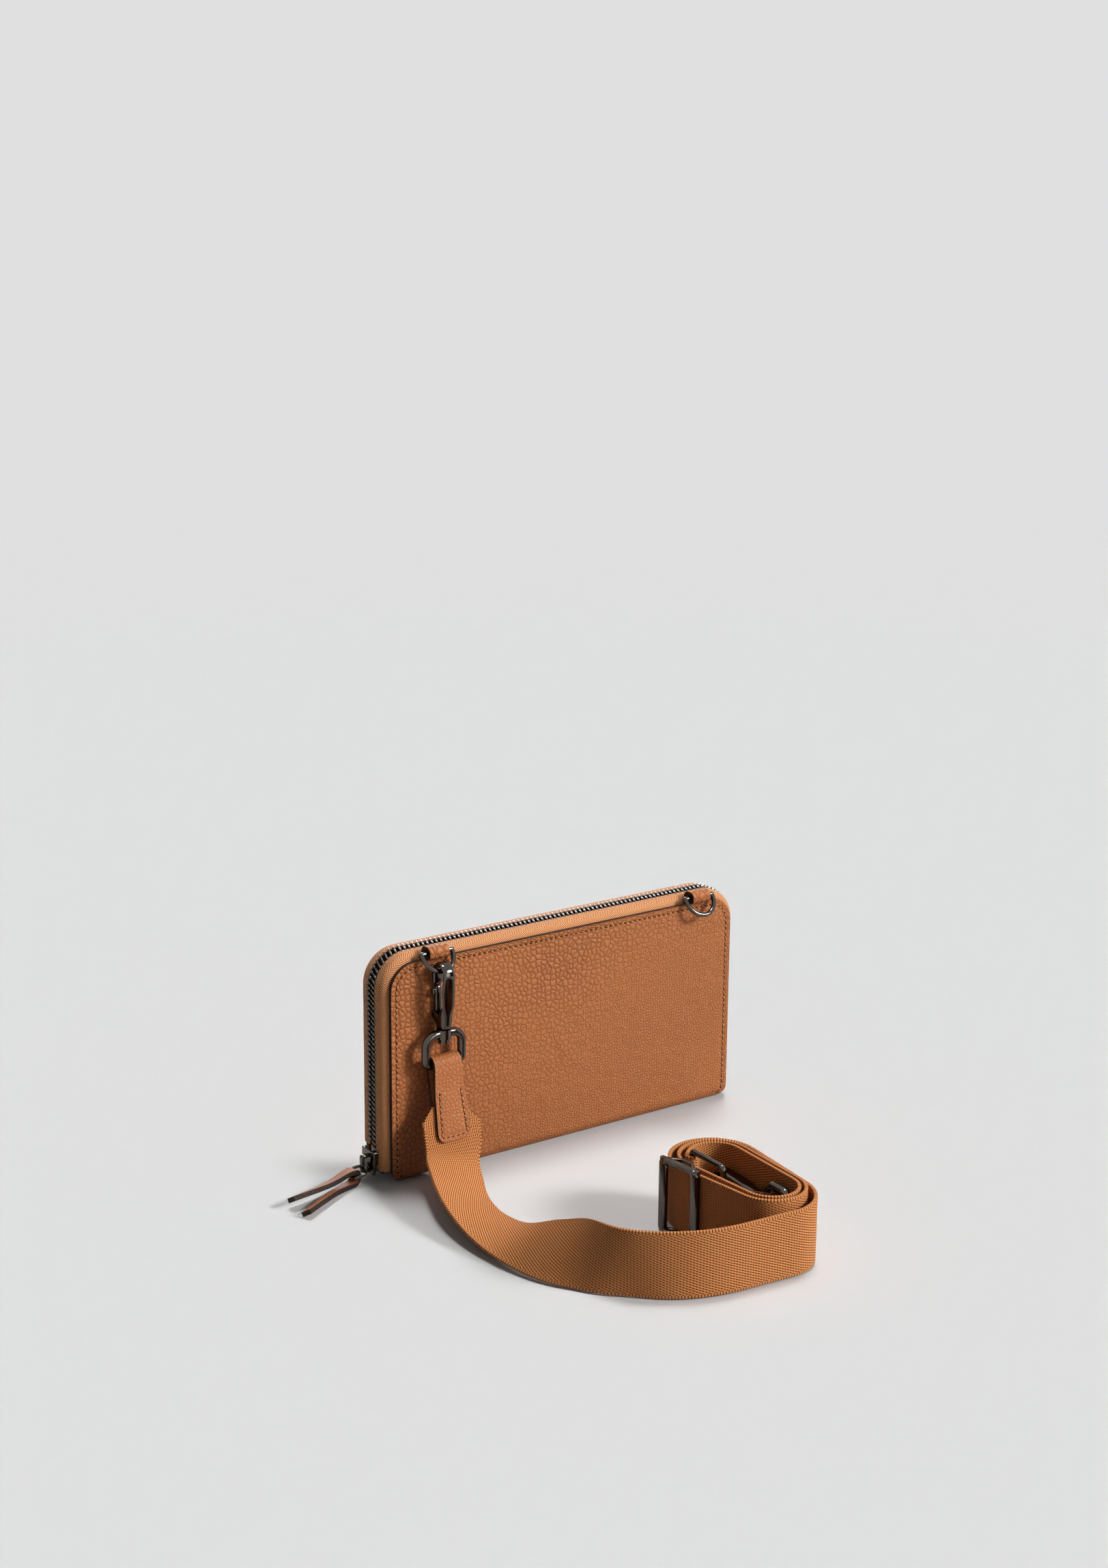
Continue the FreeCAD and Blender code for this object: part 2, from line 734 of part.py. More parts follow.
# The strip folds round the ring a little off its far end, so that its tails head towards the front.
strip = size("strip_thickness")
strip_half = size("strip_width") / 2
ring_bow = pull_radius - root(pull_radius * pull_radius - strip_half * strip_half)
strip_hole = pull_wire + size("strip_clearance") + ring_bow
strip_round = strip_hole + strip
hub = cut("strip_fold", cylinder("strip_fold_outer", strip_round, size("strip_width"), (0.0, -strip_half, 0.0), "Y"),
          cylinder("strip_fold_inner", strip_hole, size("strip_width"), (0.0, -strip_half, 0.0), "Y"))
spread = float(size("strip_spread"))
sag = float(size("upper_sag"))
tails = []
for name, length, low, yaw, pitch in (("upper_tail", size("upper_tail"), strip_hole, -spread, -sag),
                                      ("lower_tail", size("lower_tail"), -strip_round, spread, 0.0)):
    tail = doc.addObject("Part::Box", name)
    bind(tail, "Length", length)
    bind(tail, "Width", size("strip_width"))
    bind(tail, "Height", strip)
    seat = Place(Vec(-float(length), -float(strip_half), float(low)), Turn())
    tail.Placement = Place(Vec(), Turn(Vec(0, 0, 1), yaw)).multiply(
        Place(Vec(), Turn(Vec(0, 1, 0), pitch))).multiply(seat)
    tails.append(tail)
strip_piece = fuse("pull_strip", [hub] + tails)
heading = float(size("strip_heading"))
ring_turn = Place(Vec(float(pull_x), 0, float(pull_z)), Turn(Vec(0, 1, 0), -float(droop)))
ring_spot = Vec(-float(pull_radius) * (1 + math.cos(math.radians(heading))),
                -float(pull_radius) * math.sin(math.radians(heading)), 0)
strip_at = ring_turn.multVec(ring_spot)
strip_piece.Placement = Place(strip_at, Turn(Vec(0, 0, 1), heading))
keep("pull_strip", strip_piece)

# Leather loops on the top edge and their D-rings

ring_wire = size("ring_wire")
loop_hole = ring_wire + size("loop_clearance")
loop_round = loop_hole + size("loop_leather")
bar_y = -half_depth - size("loop_out")
bar_z = height + size("loop_rise")
ring_half = size("ring_width") / 2
ring_drop = size("ring_side") + ring_half
tilt = float(size("ring_tilt"))
for word, spot in zip(("left", "right"), tab_spots):
    tube = cut(word + "_loop_tube",
               cylinder(word + "_loop_outer", loop_round, size("loop_width"), (spot - loop_half, bar_y, bar_z), "X"),
               cylinder(word + "_loop_inner", loop_hole, size("loop_width"), (spot - loop_half, bar_y, bar_z), "X"))
    tongue = box(word + "_loop_tongue", (spot - loop_half, -inner_face, tongue_low),
                 (size("loop_width"), size("loop_leather"), bar_z - tongue_low))
    bridge = box(word + "_loop_bridge", (spot - loop_half, bar_y, bar_z + loop_hole),
                 (size("loop_width"), -inner_face - bar_y + size("loop_leather"), size("loop_leather")))
    riser = box(word + "_loop_riser", (spot - loop_half, -inner_face, bar_z),
                (size("loop_width"), size("loop_leather"), loop_hole + size("loop_leather")))
    keep(word + "_loop", fuse(word + "_loop", [tube, tongue, bridge, riser]))
    upright = Turn(Vec(1, 0, 0), 90).multiply(Turn(Vec(0, 0, 1), 180))
    ring = fuse(word + "_d_ring", [
        cylinder(word + "_ring_bar", ring_wire, ring_half * 2, (-ring_half, 0.0, 0.0), "X"),
        cylinder(word + "_ring_side_a", ring_wire, size("ring_side"), (-ring_half, 0.0, -size("ring_side"))),
        cylinder(word + "_ring_side_b", ring_wire, size("ring_side"), (ring_half, 0.0, -size("ring_side"))),
        ball(word + "_ring_knee_a", ring_wire, (-ring_half, 0.0, 0.0)),
        ball(word + "_ring_knee_b", ring_wire, (ring_half, 0.0, 0.0)),
        torus(word + "_ring_bow", ring_half, ring_wire, (0.0, 0.0, -size("ring_side")), upright, 180.0),
    ])
    ring.Placement = Place(Vec(float(spot), float(bar_y), float(bar_z)), Turn(Vec(1, 0, 0), -tilt))
    keep(word + "_d_ring", ring)

# Snap hook with gate, swivel and ring, built hanging from the wire that its eye holds

eye = size("eye_radius")
band = size("hook_band")
arm = eye + band
eye_centre = -size("eye_drop")
nose = -size("nose_drop")
throat = -size("hook_throat")
base_low = -size("hook_base")
hook_half = size("hook_width") / 2
gate_gap = size("gate_clearance")
pin_x = -eye - band / 2
pin_z = -size("gate_pin_drop")
gate_half = size("gate_width") / 2
foot = band / 2 + gate_gap * 2
boss_top = base_low - size("swivel_gap")
boss_low = boss_top - size("boss_height")
swivel_top = boss_top - size("boss_height") / 2
swivel_low = swivel_top - size("swivel_length")


def snap_hook(prefix, hook_place, ring_place):
    """Build one snap hook: body, gate, gate pin, swivel rivet and swivel ring."""
    body = new_body(prefix + "hook_body")
    blank = pad(body, "XZ_Plane", [[
        (-arm, nose),
        (-arm, eye_centre, 0.0, eye_centre, False),
        (arm, eye_centre),
        (size("base_half"), base_low),
        (-size("base_half"), base_low),
        (-arm, throat - band),
        (-arm, throat),
        (-eye + band * 0.7, throat),
        (eye - band * 0.8, throat - band),
        (eye, eye_centre, 0.0, eye_centre, True),
        (-eye, eye_centre),
        (-eye, nose),
    ]], -hook_half, size("hook_width"))
    pocket(body, "XZ_Plane", rectangle(-arm - band, pin_z - foot * 1.7, pin_x + foot * 1.5, throat + band),
           -gate_half - gate_gap, size("gate_width") + gate_gap * 2)
    lug_hole = size("gate_pin_radius") + size("pin_clearance") / 2
    sketch = new_sketch(body, "XZ_Plane", -hook_half)
    sketch.addGeometry(Part.Circle(Vec(float(pin_x), float(pin_z), 0), Vec(0, 0, 1), float(lug_hole)), False)
    pin_point(sketch, 0, 3, pin_x, pin_z)
    made = sketch.addConstraint(Sketcher.Constraint("Radius", 0, float(lug_hole)))
    bind(sketch, "Constraints[%d]" % made, lug_hole)
    hole = body.newObject("PartDesign::Pocket", body.Name + "_pin_hole")
    hole.Profile = sketch
    bind(hole, "Length", size("hook_width"))
    hole.Reversed = False
    before = body.Shape.Volume
    doc.recompute()
    if body.Shape.Volume > before - 1e-6:
        hole.Reversed = True
        doc.recompute()
    body.Placement = hook_place
    keep(prefix + "hook_body", body)

    gate = new_body(prefix + "hook_gate")
    gate_top = nose - gate_gap
    gate_left = pin_x - band / 2
    gate_right = pin_x + band / 2
    pad(gate, "XZ_Plane", [rectangle(gate_left, pin_z - band / 2, gate_right, gate_top)],
        -gate_half, size("gate_width"))
    nub_top = gate_top - size("gate_nub_drop")
    nub = size("gate_nub")
    lever = pad(gate, "XZ_Plane", [rectangle(gate_left, nub_top - size("gate_nub_length"), gate_right, nub_top)],
                -gate_half - nub, nub)
    gate_hole = size("gate_pin_radius") + size("pin_clearance")
    sketch = new_sketch(gate, "XZ_Plane", -gate_half)
    sketch.addGeometry(Part.Circle(Vec(float(pin_x), float(pin_z), 0), Vec(0, 0, 1), float(gate_hole)), False)
    pin_point(sketch, 0, 3, pin_x, pin_z)
    made = sketch.addConstraint(Sketcher.Constraint("Radius", 0, float(gate_hole)))
    bind(sketch, "Constraints[%d]" % made, gate_hole)
    hole = gate.newObject("PartDesign::Pocket", gate.Name + "_pin_hole")
    hole.Profile = sketch
    bind(hole, "Length", size("gate_width"))
    hole.Reversed = False
    doc.recompute()
    if gate.Shape.Volume > lever.Shape.Volume - 1e-6:
        hole.Reversed = True
        doc.recompute()
    gate.Placement = hook_place
    keep(prefix + "hook_gate", gate)

    pin = cylinder(prefix + "pin_blank", size("gate_pin_radius"), size("hook_width"), (pin_x, -hook_half, pin_z), "Y")
    pin_piece = fuse(prefix + "gate_pin", [pin, cylinder(prefix + "pin_core", size("gate_pin_radius") / 2,
                                                         size("hook_width"), (pin_x, -hook_half, pin_z), "Y")])
    pin_piece.Placement = hook_place
    keep(prefix + "gate_pin", pin_piece)

    stem_low = boss_low - size("swivel_gap")
    rivet = fuse(prefix + "swivel_rivet", [
        cylinder(prefix + "stem", size("stem_radius"), base_low - stem_low, (0.0, 0.0, stem_low)),
        cylinder(prefix + "rivet_head", size("rivet_radius"), size("rivet_height"),
                 (0.0, 0.0, stem_low - size("rivet_height"))),
    ])
    rivet.Placement = hook_place
    keep(prefix + "swivel_rivet", rivet)

    wire_frame = frame_of_wire(prefix + "swivel_frame", size("swivel_wire"), size("swivel_width") / 2,
                               swivel_top, swivel_low, size("swivel_corner"), size("swivel_foot_corner"))
    boss = cylinder(prefix + "swivel_boss", size("boss_radius"), size("boss_height"), (0.0, 0.0, boss_low))
    bore = cylinder(prefix + "swivel_bore", size("stem_radius") + size("swivel_clearance"), size("boss_height"),
                    (0.0, 0.0, boss_low))
    ring = cut(prefix + "swivel_ring", fuse(prefix + "swivel_blank", [wire_frame, boss]), bore)
    ring.Placement = ring_place
    keep(prefix + "swivel_ring", ring)


hook_y = bar_y - ring_drop * sine(size("ring_tilt"))
hook_z = bar_z - ring_drop * cosine(size("ring_tilt"))
hook_spot = Vec(float(left_ring_x), float(hook_y), float(hook_z))
snap_hook("", Place(hook_spot, Turn(Vec(0, 0, 1), float(size("hook_turn")))), Place(hook_spot, Turn()))

# Leather tab folded round the swivel ring, with the strap's end between its two leaves

tab_hole = size("swivel_wire") + size("tab_clearance")
tab_round = tab_hole + size("tab_leather")
strap_half = size("strap_thickness") / 2
tab_top = size("tab_top_width") / 2
tab_end = size("tab_end_width") / 2
tab_low = -size("tab_length")
tab_fold = cut("tab_fold",
               cylinder("tab_fold_outer", tab_round, tab_top * 2, (-tab_top, 0.0, 0.0), "X"),
               cylinder("tab_fold_inner", tab_hole, tab_top * 2, (-tab_top, 0.0, 0.0), "X"))
leaf_outline = [(-tab_top, -tab_hole), (-tab_end, tab_low), (tab_end, tab_low), (tab_top, -tab_hole)]
leaves = []
for name, low in (("tab_front_leaf", -strap_half - size("tab_leather")), ("tab_back_leaf", strap_half)):
    leaf = new_body(name)
    blank = pad(leaf, "XZ_Plane", [leaf_outline], low, size("tab_leather"))
    round_edges(leaf, blank, size("tab_corner"),
                lambda edge: runs_along(edge, 1) and edge.Vertexes[0].Z < float(tab_low) + 1e-6)
    leaves.append(leaf)
tab_piece = fuse("strap_tab", [tab_fold] + leaves)
tab_place = Place(Vec(hook_spot.x, hook_spot.y, hook_spot.z + float(swivel_low)),
                  Turn(Vec(1, 0, 0), -float(size("tab_tilt"))))
tab_piece.Placement = tab_place
keep("strap_tab", tab_piece)

# Woven strap: end in the tab, twisted drop to the floor, then standing on its edge into the roll

strap_width = float(size("strap_width"))
strap_thick = float(size("strap_thickness"))


def rib_corners(left, right, forward):
    """Return the corners of the strap's section across one rib, for a strap that runs forward there."""
    across = (right - left).normalize()
    middle = (left + right) * 0.5
    normal = forward.cross(across).normalize() * (strap_thick / 2)
    reach = across * (strap_width / 2)
    return [middle - reach - normal, middle + reach - normal, middle + reach + normal, middle - reach + normal]


def closed_face(points):
    return Part.Face(Part.makePolygon(points + [points[0]]))


def ribbon(ribs):
    """Return the solid whose four edges are smooth curves through the corners of the ribs."""
    sections = [rib_corners(*rib) for rib in ribs]
    middles = [(left + right) * 0.5 for left, right, forward in ribs]
    stations = [0.0]
    for here, there in zip(middles, middles[1:]):
        stations.append(stations[-1] + (there - here).Length)
    curves = []
    for corner in range(4):
        curve = Part.BSplineCurve()
        curve.interpolate(Points=[section[corner] for section in sections], Parameters=stations,
                          InitialTangent=ribs[0][2], FinalTangent=ribs[-1][2], Scale=False)
        curves.append(curve)
    faces = [closed_face(sections[0]), closed_face(sections[-1])]
    last = len(ribs) - 1
    for first in range(0, last, RIBS_PER_FACE):
        edges = []
        for curve in curves:
            piece = curve.copy()
            piece.segment(stations[first], stations[min(first + RIBS_PER_FACE, last)])
            edges.append(piece.toShape())
        faces += [Part.makeRuledSurface(edges[corner], edges[(corner + 1) % 4], 1) for corner in range(4)]
    shell = Part.makeCompound(faces)
    shell.sewShape()
    solid = Part.Solid(shell)
    if solid.Volume < 0:
        solid.reverse()
    return solid


def tangent_path(start, circles, end_turn):
    """Join circles, all passed on the left, by their outer tangents.

    Returns a list of ("line", a, b) and ("arc", centre, radius, first angle, sweep) pieces in the plane.
    """
    pieces = []
    spot = Vec(start[0], start[1], 0)
    for number, (x, y, radius) in enumerate(circles):
        centre = Vec(x, y, 0)
        arrive = math.atan2(spot.y - y, spot.x - x)
        if number + 1 < len(circles):
            next_x, next_y, next_radius = circles[number + 1]
            away = Vec(next_x - x, next_y - y, 0)
            bearing = math.atan2(away.y, away.x)
            leave = bearing - math.acos((radius - next_radius) / away.Length)
            sweep = (leave - arrive) % (2 * math.pi)
        else:
            sweep = math.radians(end_turn)
            leave = arrive + sweep
        pieces.append(("arc", centre, radius, arrive, sweep))
        spot = centre + Vec(math.cos(leave), math.sin(leave), 0) * radius
        if number + 1 < len(circles):
            touch = Vec(next_x + next_radius * math.cos(leave), next_y + next_radius * math.sin(leave), 0)
            pieces.append(("line", spot, touch))
            spot = touch
    return pieces


def path_points(pieces, turn_step, line_step):
    """Sample the middle of the strap: a list of point, heading, piece number and share of that piece."""
    spots = []
    for number, piece in enumerate(pieces):
        if piece[0] == "line":
            run = piece[2] - piece[1]
            count = max(1, int(run.Length / line_step))
            heading = Vec(run).normalize()
            spots += [(piece[1] + run * (part / count), heading, number, part / count) for part in range(count)]
            continue
        centre, radius, first, sweep = piece[1:]
        count = max(2, int(sweep / turn_step))
        last = number == len(pieces) - 1
        for part in range(count + 1 if last else count):
            angle = first + sweep * part / count
            spoke = Vec(math.cos(angle), math.sin(angle), 0)
            spots.append((centre + spoke * radius, Vec(-spoke.y, spoke.x, 0), number, part / count))
    return spots


def lift_at(number, share):
    """Return the height of the strap's lower edge on a piece of the roll's path."""
    progress = (number + share - flat_until) / (lifted_from - flat_until)
    progress = min(1.0, max(0.0, progress))
    return foot_lift + (roll_lift - foot_lift) * progress * progress * (3 - 2 * progress)


wrap_radius = float(size("square_wire")) + float(size("glide_clearance")) + strap_thick / 2
square_x, square_y = SQUARE_RING_AT
roll_path = tangent_path(ROLL_START, ROLL_CIRCLES + [(square_x, square_y, wrap_radius)], ROLL_END_TURN)

# The strap stands on the floor in front and is lifted by the adjuster's lower rail from the roll's left run on.
foot_lift = float(size("floor_lift"))
roll_lift = float(size("glide_clearance")) + float(size("glide_rail")) + foot_lift
spots = path_points(roll_path, 0.22, 6.0)
flat_until = 2
lifted_from = 5
tab_down = tab_place.Rotation.multVec(Vec(0, 0, -1))
tab_across = Vec(strap_width / 2, 0, 0)
tip_across = Vec(float(size("strap_tip_width")) / 2, 0, 0)
tip = tab_place.Base + tab_down * float(size("strap_tip_at"))
shoulder = tab_place.Base + tab_down * float(size("strap_shoulder_at"))
leave = tab_place.Base + tab_down * float(size("tab_length") + size("strap_margin"))
strap_shift = Vec(leave.x - DROP_FROM[0], leave.y - DROP_FROM[1], 0)

drop_rise = leave.z / DROP_FROM[2] - 1


def drop_station(number, point):
    """Move a drawn station with the tab: sideways as it is, and in height less and less along the drop."""
    height_share = 1 + drop_rise * max(0.0, 1 - number / DROP_STATIONS)
    return Vec(point[0], point[1], point[2] * height_share) + strap_shift


ribs = [(leave - tab_across, leave + tab_across, tab_down)]
lefts = [drop_station(number, point) for number, point in enumerate(STRAP_LEFT)]
rights = [drop_station(number, point) for number, point in enumerate(STRAP_RIGHT)]
rise = Vec(0, 0, strap_width)
standing = []
for spot, along, number, share in spots:
    low_edge = spot + strap_shift + Vec(0, 0, lift_at(number, share))
    standing.append((low_edge, low_edge + rise, along))
middles = [leave] + [(a + b) * 0.5 for a, b in zip(lefts, rights)] + [standing[0][0] + rise * 0.5]
for number, (left, right) in enumerate(zip(lefts, rights), start=1):
    ribs.append((left, right, (middles[number + 1] - middles[number - 1]).normalize()))
strap_run = ribbon(ribs + standing)

half = tab_place.Rotation.multVec(Vec(0, strap_thick / 2, 0))
tip_outline = [tip - tip_across - half, tip + tip_across - half, shoulder + tab_across - half,
               leave + tab_across - half, leave - tab_across - half, shoulder - tab_across - half]
tip_solid = closed_face(tip_outline).extrude(half * 2)

strap_shape = tip_solid.fuse(strap_run).removeSplitter()
strap = doc.addObject("Part::Feature", "strap_webbing")
strap.Shape = strap_shape if len(strap_shape.Solids) != 1 else strap_shape.Solids[0]
keep("strap_webbing", strap)

samples = [spot for spot, along, number, share in path_points(roll_path, 0.1, 2.0)]
reach = [0.0]
for here, there in zip(samples, samples[1:]):
    reach.append(reach[-1] + (there - here).Length)
least = min((samples[a] - samples[b]).Length for a in range(len(samples)) for b in range(a, len(samples))
            if reach[b] - reach[a] > ROLL_GAP_RUN)
print("least gap of the rolled strap to itself: %.2f mm" % (least - strap_thick))
print("strap volume %.0f, length %.0f mm" % (strap.Shape.Volume, strap.Shape.Volume / strap_width / strap_thick))

# Adjuster on the roll's left run, square ring at the strap's inner end, and the hook set inside the roll


def in_roll(local):
    """Move a place of the roll's plan with the strap, to the height at which the roll stands."""
    return Place(strap_shift + Vec(0, 0, roll_lift), Turn()).multiply(local)


left_run = roll_path[5]
run_along = (left_run[2] - left_run[1]).normalize()
glide_spot = left_run[1] + run_along * float(size("glide_at"))
glide_angle = math.degrees(math.atan2(run_along.y, run_along.x))
glide_half = size("glide_length") / 2
glide_gap = size("glide_clearance")
near_side = strap_half + glide_gap
far_side = near_side + size("glide_bar")
bar = size("glide_bar_width")
slot_low = -glide_gap
slot_high = size("strap_width") + glide_gap
rail = size("glide_rail")
glide = new_body("tri_glide")
rail_outline = [
    (-glide_half, -far_side), (-glide_half + bar * 1.3, -far_side), (-bar, near_side), (bar, near_side),
    (glide_half - bar * 1.3, -far_side), (glide_half, -far_side), (glide_half, -near_side),
    (glide_half - bar, -near_side), (bar, far_side), (-bar, far_side), (-glide_half + bar, -near_side),
    (-glide_half, -near_side),
]
pad(glide, "XY_Plane", [rail_outline], slot_low - rail, rail)
for low, side_low in ((-glide_half, -far_side), (-bar / 2, near_side), (glide_half - bar, -far_side)):
    pad(glide, "XY_Plane", [rectangle(low, side_low, low + bar, side_low + size("glide_bar"))],
        slot_low - rail / 2, slot_high - slot_low + rail)
pad(glide, "XY_Plane", [rail_outline], slot_high, rail)
glide.Placement = in_roll(Place(glide_spot, Turn(Vec(0, 0, 1), glide_angle)))
keep("tri_glide", glide)

square_wire = size("square_wire")
square_half = size("strap_width") / 2 + size("square_clearance") + square_wire
square = frame_of_wire("square_ring", square_wire, square_half, size("square_length"), 0.0, size("square_corner"),
                       size("square_corner"))
mid_rise = strap_width / 2
square_turn = Turn(Vec(0, 0, 1), 180).multiply(Turn(Vec(0, 0, 1), Vec(0, 1, 0))).multiply(Turn(Vec(0, 0, 1), 90))
square.Placement = in_roll(Place(Vec(square_x, square_y, mid_rise), square_turn))
keep("square_ring", square)

far_axes = Turn(Vec(0, 0, 1), Vec(1, 0, 0), Vec(0, 1, 0), "ZXY")
far_bar = Vec(FAR_SWIVEL_AT[0], FAR_SWIVEL_AT[1], mid_rise)
far_place = in_roll(Place(far_bar + Vec(0, -float(swivel_low), 0), far_axes))
snap_hook("far_", far_place, far_place)

# Leather link between the square ring and the far swivel ring
link_start = Vec(FAR_SWIVEL_AT[0], FAR_SWIVEL_AT[1], 0)
link_end = Vec(square_x, square_y - float(size("square_length")), 0)
link_run = (link_end - link_start).Length
link_angle = math.degrees(math.atan2(link_end.y - link_start.y, link_end.x - link_start.x))
small_hole = square_wire + size("tab_clearance")
small_round = small_hole + size("link_leather")
big_round = tab_hole + size("link_leather")
link_width = size("tab_top_width")


def link_outline(first, last):
    """Return the outline of a strip wrapped round two bars, as a shape of its outer or inner face."""
    return Part.Face(Part.Wire(Part.__sortEdges__(belt_edges(first, last))))


def belt_edges(first, last):
    slope = math.acos((first - last) / link_run)
    high = Vec(math.cos(slope), math.sin(slope), 0)
    low_side = Vec(high.x, -high.y, 0)
    far = Vec(link_run, 0, 0)
    return [
        Part.LineSegment(high * first, far + high * last).toShape(),
        Part.Arc(far + high * last, far + Vec(last, 0, 0), far + low_side * last).toShape(),
        Part.LineSegment(far + low_side * last, low_side * first).toShape(),
        Part.Arc(low_side * first, Vec(-first, 0, 0), high * first).toShape(),
    ]


link_shape = link_outline(float(big_round), float(small_round)).cut(link_outline(float(tab_hole), float(small_hole)))
link = doc.addObject("Part::Feature", "far_link")
link.Shape = link_shape.extrude(Vec(0, 0, float(link_width))).Solids[0]
link.Placement = in_roll(Place(Vec(link_start.x, link_start.y, mid_rise - float(link_width) / 2),
                               Turn(Vec(0, 0, 1), link_angle)))
keep("far_link", link)

doc.recompute()

for item in doc.Objects:
    bad = [word for word in item.State if word in ("Invalid", "Error")]
    if bad:
        raise RuntimeError("%s is %s" % (item.Label, ", ".join(bad)))
for name, item in nodes.items():
    if item.Shape.isNull() or not item.Shape.isValid() or item.Shape.Volume <= 0 or not item.Shape.Solids:
        raise RuntimeError("%s has no valid solid" % name)

os.makedirs("parts", exist_ok=True)
for name, item in nodes.items():
    item.Shape.exportStep("parts/%s.step" % name)
    bounds = item.Shape.BoundBox
    print("%-18s %3d solid(s) x %7.2f %7.2f y %7.2f %7.2f z %7.2f %7.2f" % (
        name, len(item.Shape.Solids), bounds.XMin, bounds.XMax, bounds.YMin, bounds.YMax, bounds.ZMin, bounds.ZMax))
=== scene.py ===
"""Looks of the zip-around phone pouch: leather, zip, hardware, woven strap, light and camera.

All shapes are worked out in millimetres in the frame of the solids, and become metres as meshes.
"""
from __future__ import annotations

import json
import logging
import math
from dataclasses import dataclass, field
from enum import Enum

import bmesh
import bpy
import numpy as np
from mathutils import Matrix, Vector

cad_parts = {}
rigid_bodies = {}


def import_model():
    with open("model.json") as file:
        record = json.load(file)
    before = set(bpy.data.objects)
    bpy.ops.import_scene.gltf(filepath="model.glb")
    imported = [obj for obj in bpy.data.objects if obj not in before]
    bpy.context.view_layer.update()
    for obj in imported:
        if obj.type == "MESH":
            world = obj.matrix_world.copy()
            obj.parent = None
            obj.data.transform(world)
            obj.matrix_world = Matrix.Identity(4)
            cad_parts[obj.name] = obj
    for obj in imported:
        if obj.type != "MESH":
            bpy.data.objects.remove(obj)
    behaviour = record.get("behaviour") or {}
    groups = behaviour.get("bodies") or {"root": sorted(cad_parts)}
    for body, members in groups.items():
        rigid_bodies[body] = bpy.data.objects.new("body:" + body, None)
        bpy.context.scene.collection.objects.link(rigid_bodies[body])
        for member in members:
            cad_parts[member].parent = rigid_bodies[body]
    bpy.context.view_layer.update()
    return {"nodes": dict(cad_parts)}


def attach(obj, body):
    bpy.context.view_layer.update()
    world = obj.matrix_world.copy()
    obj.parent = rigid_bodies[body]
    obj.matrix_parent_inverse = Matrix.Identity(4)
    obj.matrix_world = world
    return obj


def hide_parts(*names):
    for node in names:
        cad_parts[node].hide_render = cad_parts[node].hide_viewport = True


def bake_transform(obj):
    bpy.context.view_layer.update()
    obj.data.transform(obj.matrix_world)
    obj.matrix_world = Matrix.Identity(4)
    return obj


MM = 0.001
log = logging.getLogger("pouch")
Array = np.ndarray
Tree = bpy.types.NodeTree
Node = bpy.types.Node
Socket = bpy.types.NodeSocket
Material = bpy.types.Material
Piece = bpy.types.Object
Pair = tuple[float, float]
Place = tuple[float, float, float]
Steps = tuple[float, ...]


class Slot(str, Enum):
    """Material slots of the record."""

    TAN = "tan_leather"
    STRIP = "strip_leather"
    INNER = "lining_leather"
    CLOTH = "lining_cloth"
    TAPE = "zip_tape"
    ZIP = "zip_metal"
    POLISHED = "polished_metal"
    WEBBING = "webbing"


class Side(Enum):
    """The two halves of the pouch, with the sign of the Y axis on which they lie."""

    FRONT = -1.0
    REAR = 1.0


def linear(code: str) -> tuple[float, float, float, float]:
    """Turn an sRGB hex colour into linear light.

    Args:
        code: The colour as "#rrggbb".

    Returns:
        Red, green, blue and an alpha of 1.
    """
    parts = np.array([int(code[at:at + 2], 16) for at in (1, 3, 5)]) / 255.0
    bent = np.where(parts <= 0.04045, parts / 12.92, ((parts + 0.055) / 1.055) ** 2.4)
    return (float(bent[0]), float(bent[1]), float(bent[2]), 1.0)


def feed(tree: Tree, node: Node, wires: dict) -> None:
    """Link sockets to a node's inputs, or set the inputs' own values.

    Args:
        tree: The node tree that holds the node.
        node: The node.
        wires: For each input, by name or number, its own value, or the socket or the node's first output
            that feeds it.
    """
    for key, value in wires.items():
        source = value.outputs[0] if isinstance(value, bpy.types.Node) else value
        if isinstance(source, bpy.types.NodeSocket):
            tree.links.new(source, node.inputs[key])
        else:
            node.inputs[key].default_value = source


def add(tree: Tree, kind: str, wires: dict | None = None, **settings: object) -> Node:
    """Add one node with its settings and its links.

    Args:
        tree: The node tree that gets the node.
        kind: The node's type name, less the words that all shader nodes share.
        wires: What feeds its inputs, as for feed.
        settings: Properties of the node itself.

    Returns:
        The new node.
    """
    node = tree.nodes.new("ShaderNode" + kind)
    for name, value in settings.items():
        setattr(node, name, value)
    feed(tree, node, wires or {})
    return node


def per_mm(size_mm: float) -> float:
    """The scale at which a pattern on Object coordinates, in metres, repeats in a number of millimetres."""
    return 1.0 / (size_mm * MM)


def span(ends: Pair) -> dict:
    """The two ends of a range, as the inputs of a node that maps from it."""
    return {"From Min": ends[0], "From Max": ends[1]}


def shown_rays(tree: Tree) -> Node:
    """Work out a number: 1 for rays that show a thing straight, mirrored or through glass, else 0.

    Args:
        tree: The node tree that gets the nodes.

    Returns:
        The node whose first output is the number.
    """
    path = add(tree, "LightPath")
    seen = add(tree, "Math", {0: path.outputs["Is Camera Ray"], 1: path.outputs["Is Glossy Ray"]},
               operation="MAXIMUM")
    return add(tree, "Math", {0: seen, 1: path.outputs["Is Transmission Ray"]}, operation="MAXIMUM")


@dataclass(frozen=True)
class Finish:
    """What every finish has: a name, a colour and a roughness."""

    name: str
    colour: str
    roughness: float

    def look(self, tree: Tree, shader: Node) -> None:
        """Add what sets this finish apart from a plain colour.

        Args:
            tree: The material's node tree.
            shader: Its shader.
        """
        raise NotImplementedError

    def make(self) -> Material:
        """Make the material: its plain colour and roughness, then its own look.

        Returns:
            The material.
        """
        material = bpy.data.materials.new(self.name)
        material.use_nodes = True
        tree = material.node_tree
        shader = tree.nodes["Principled BSDF"]
        feed(tree, shader, {"Base Color": linear(self.colour), "Roughness": self.roughness})
        self.look(tree, shader)
        return material


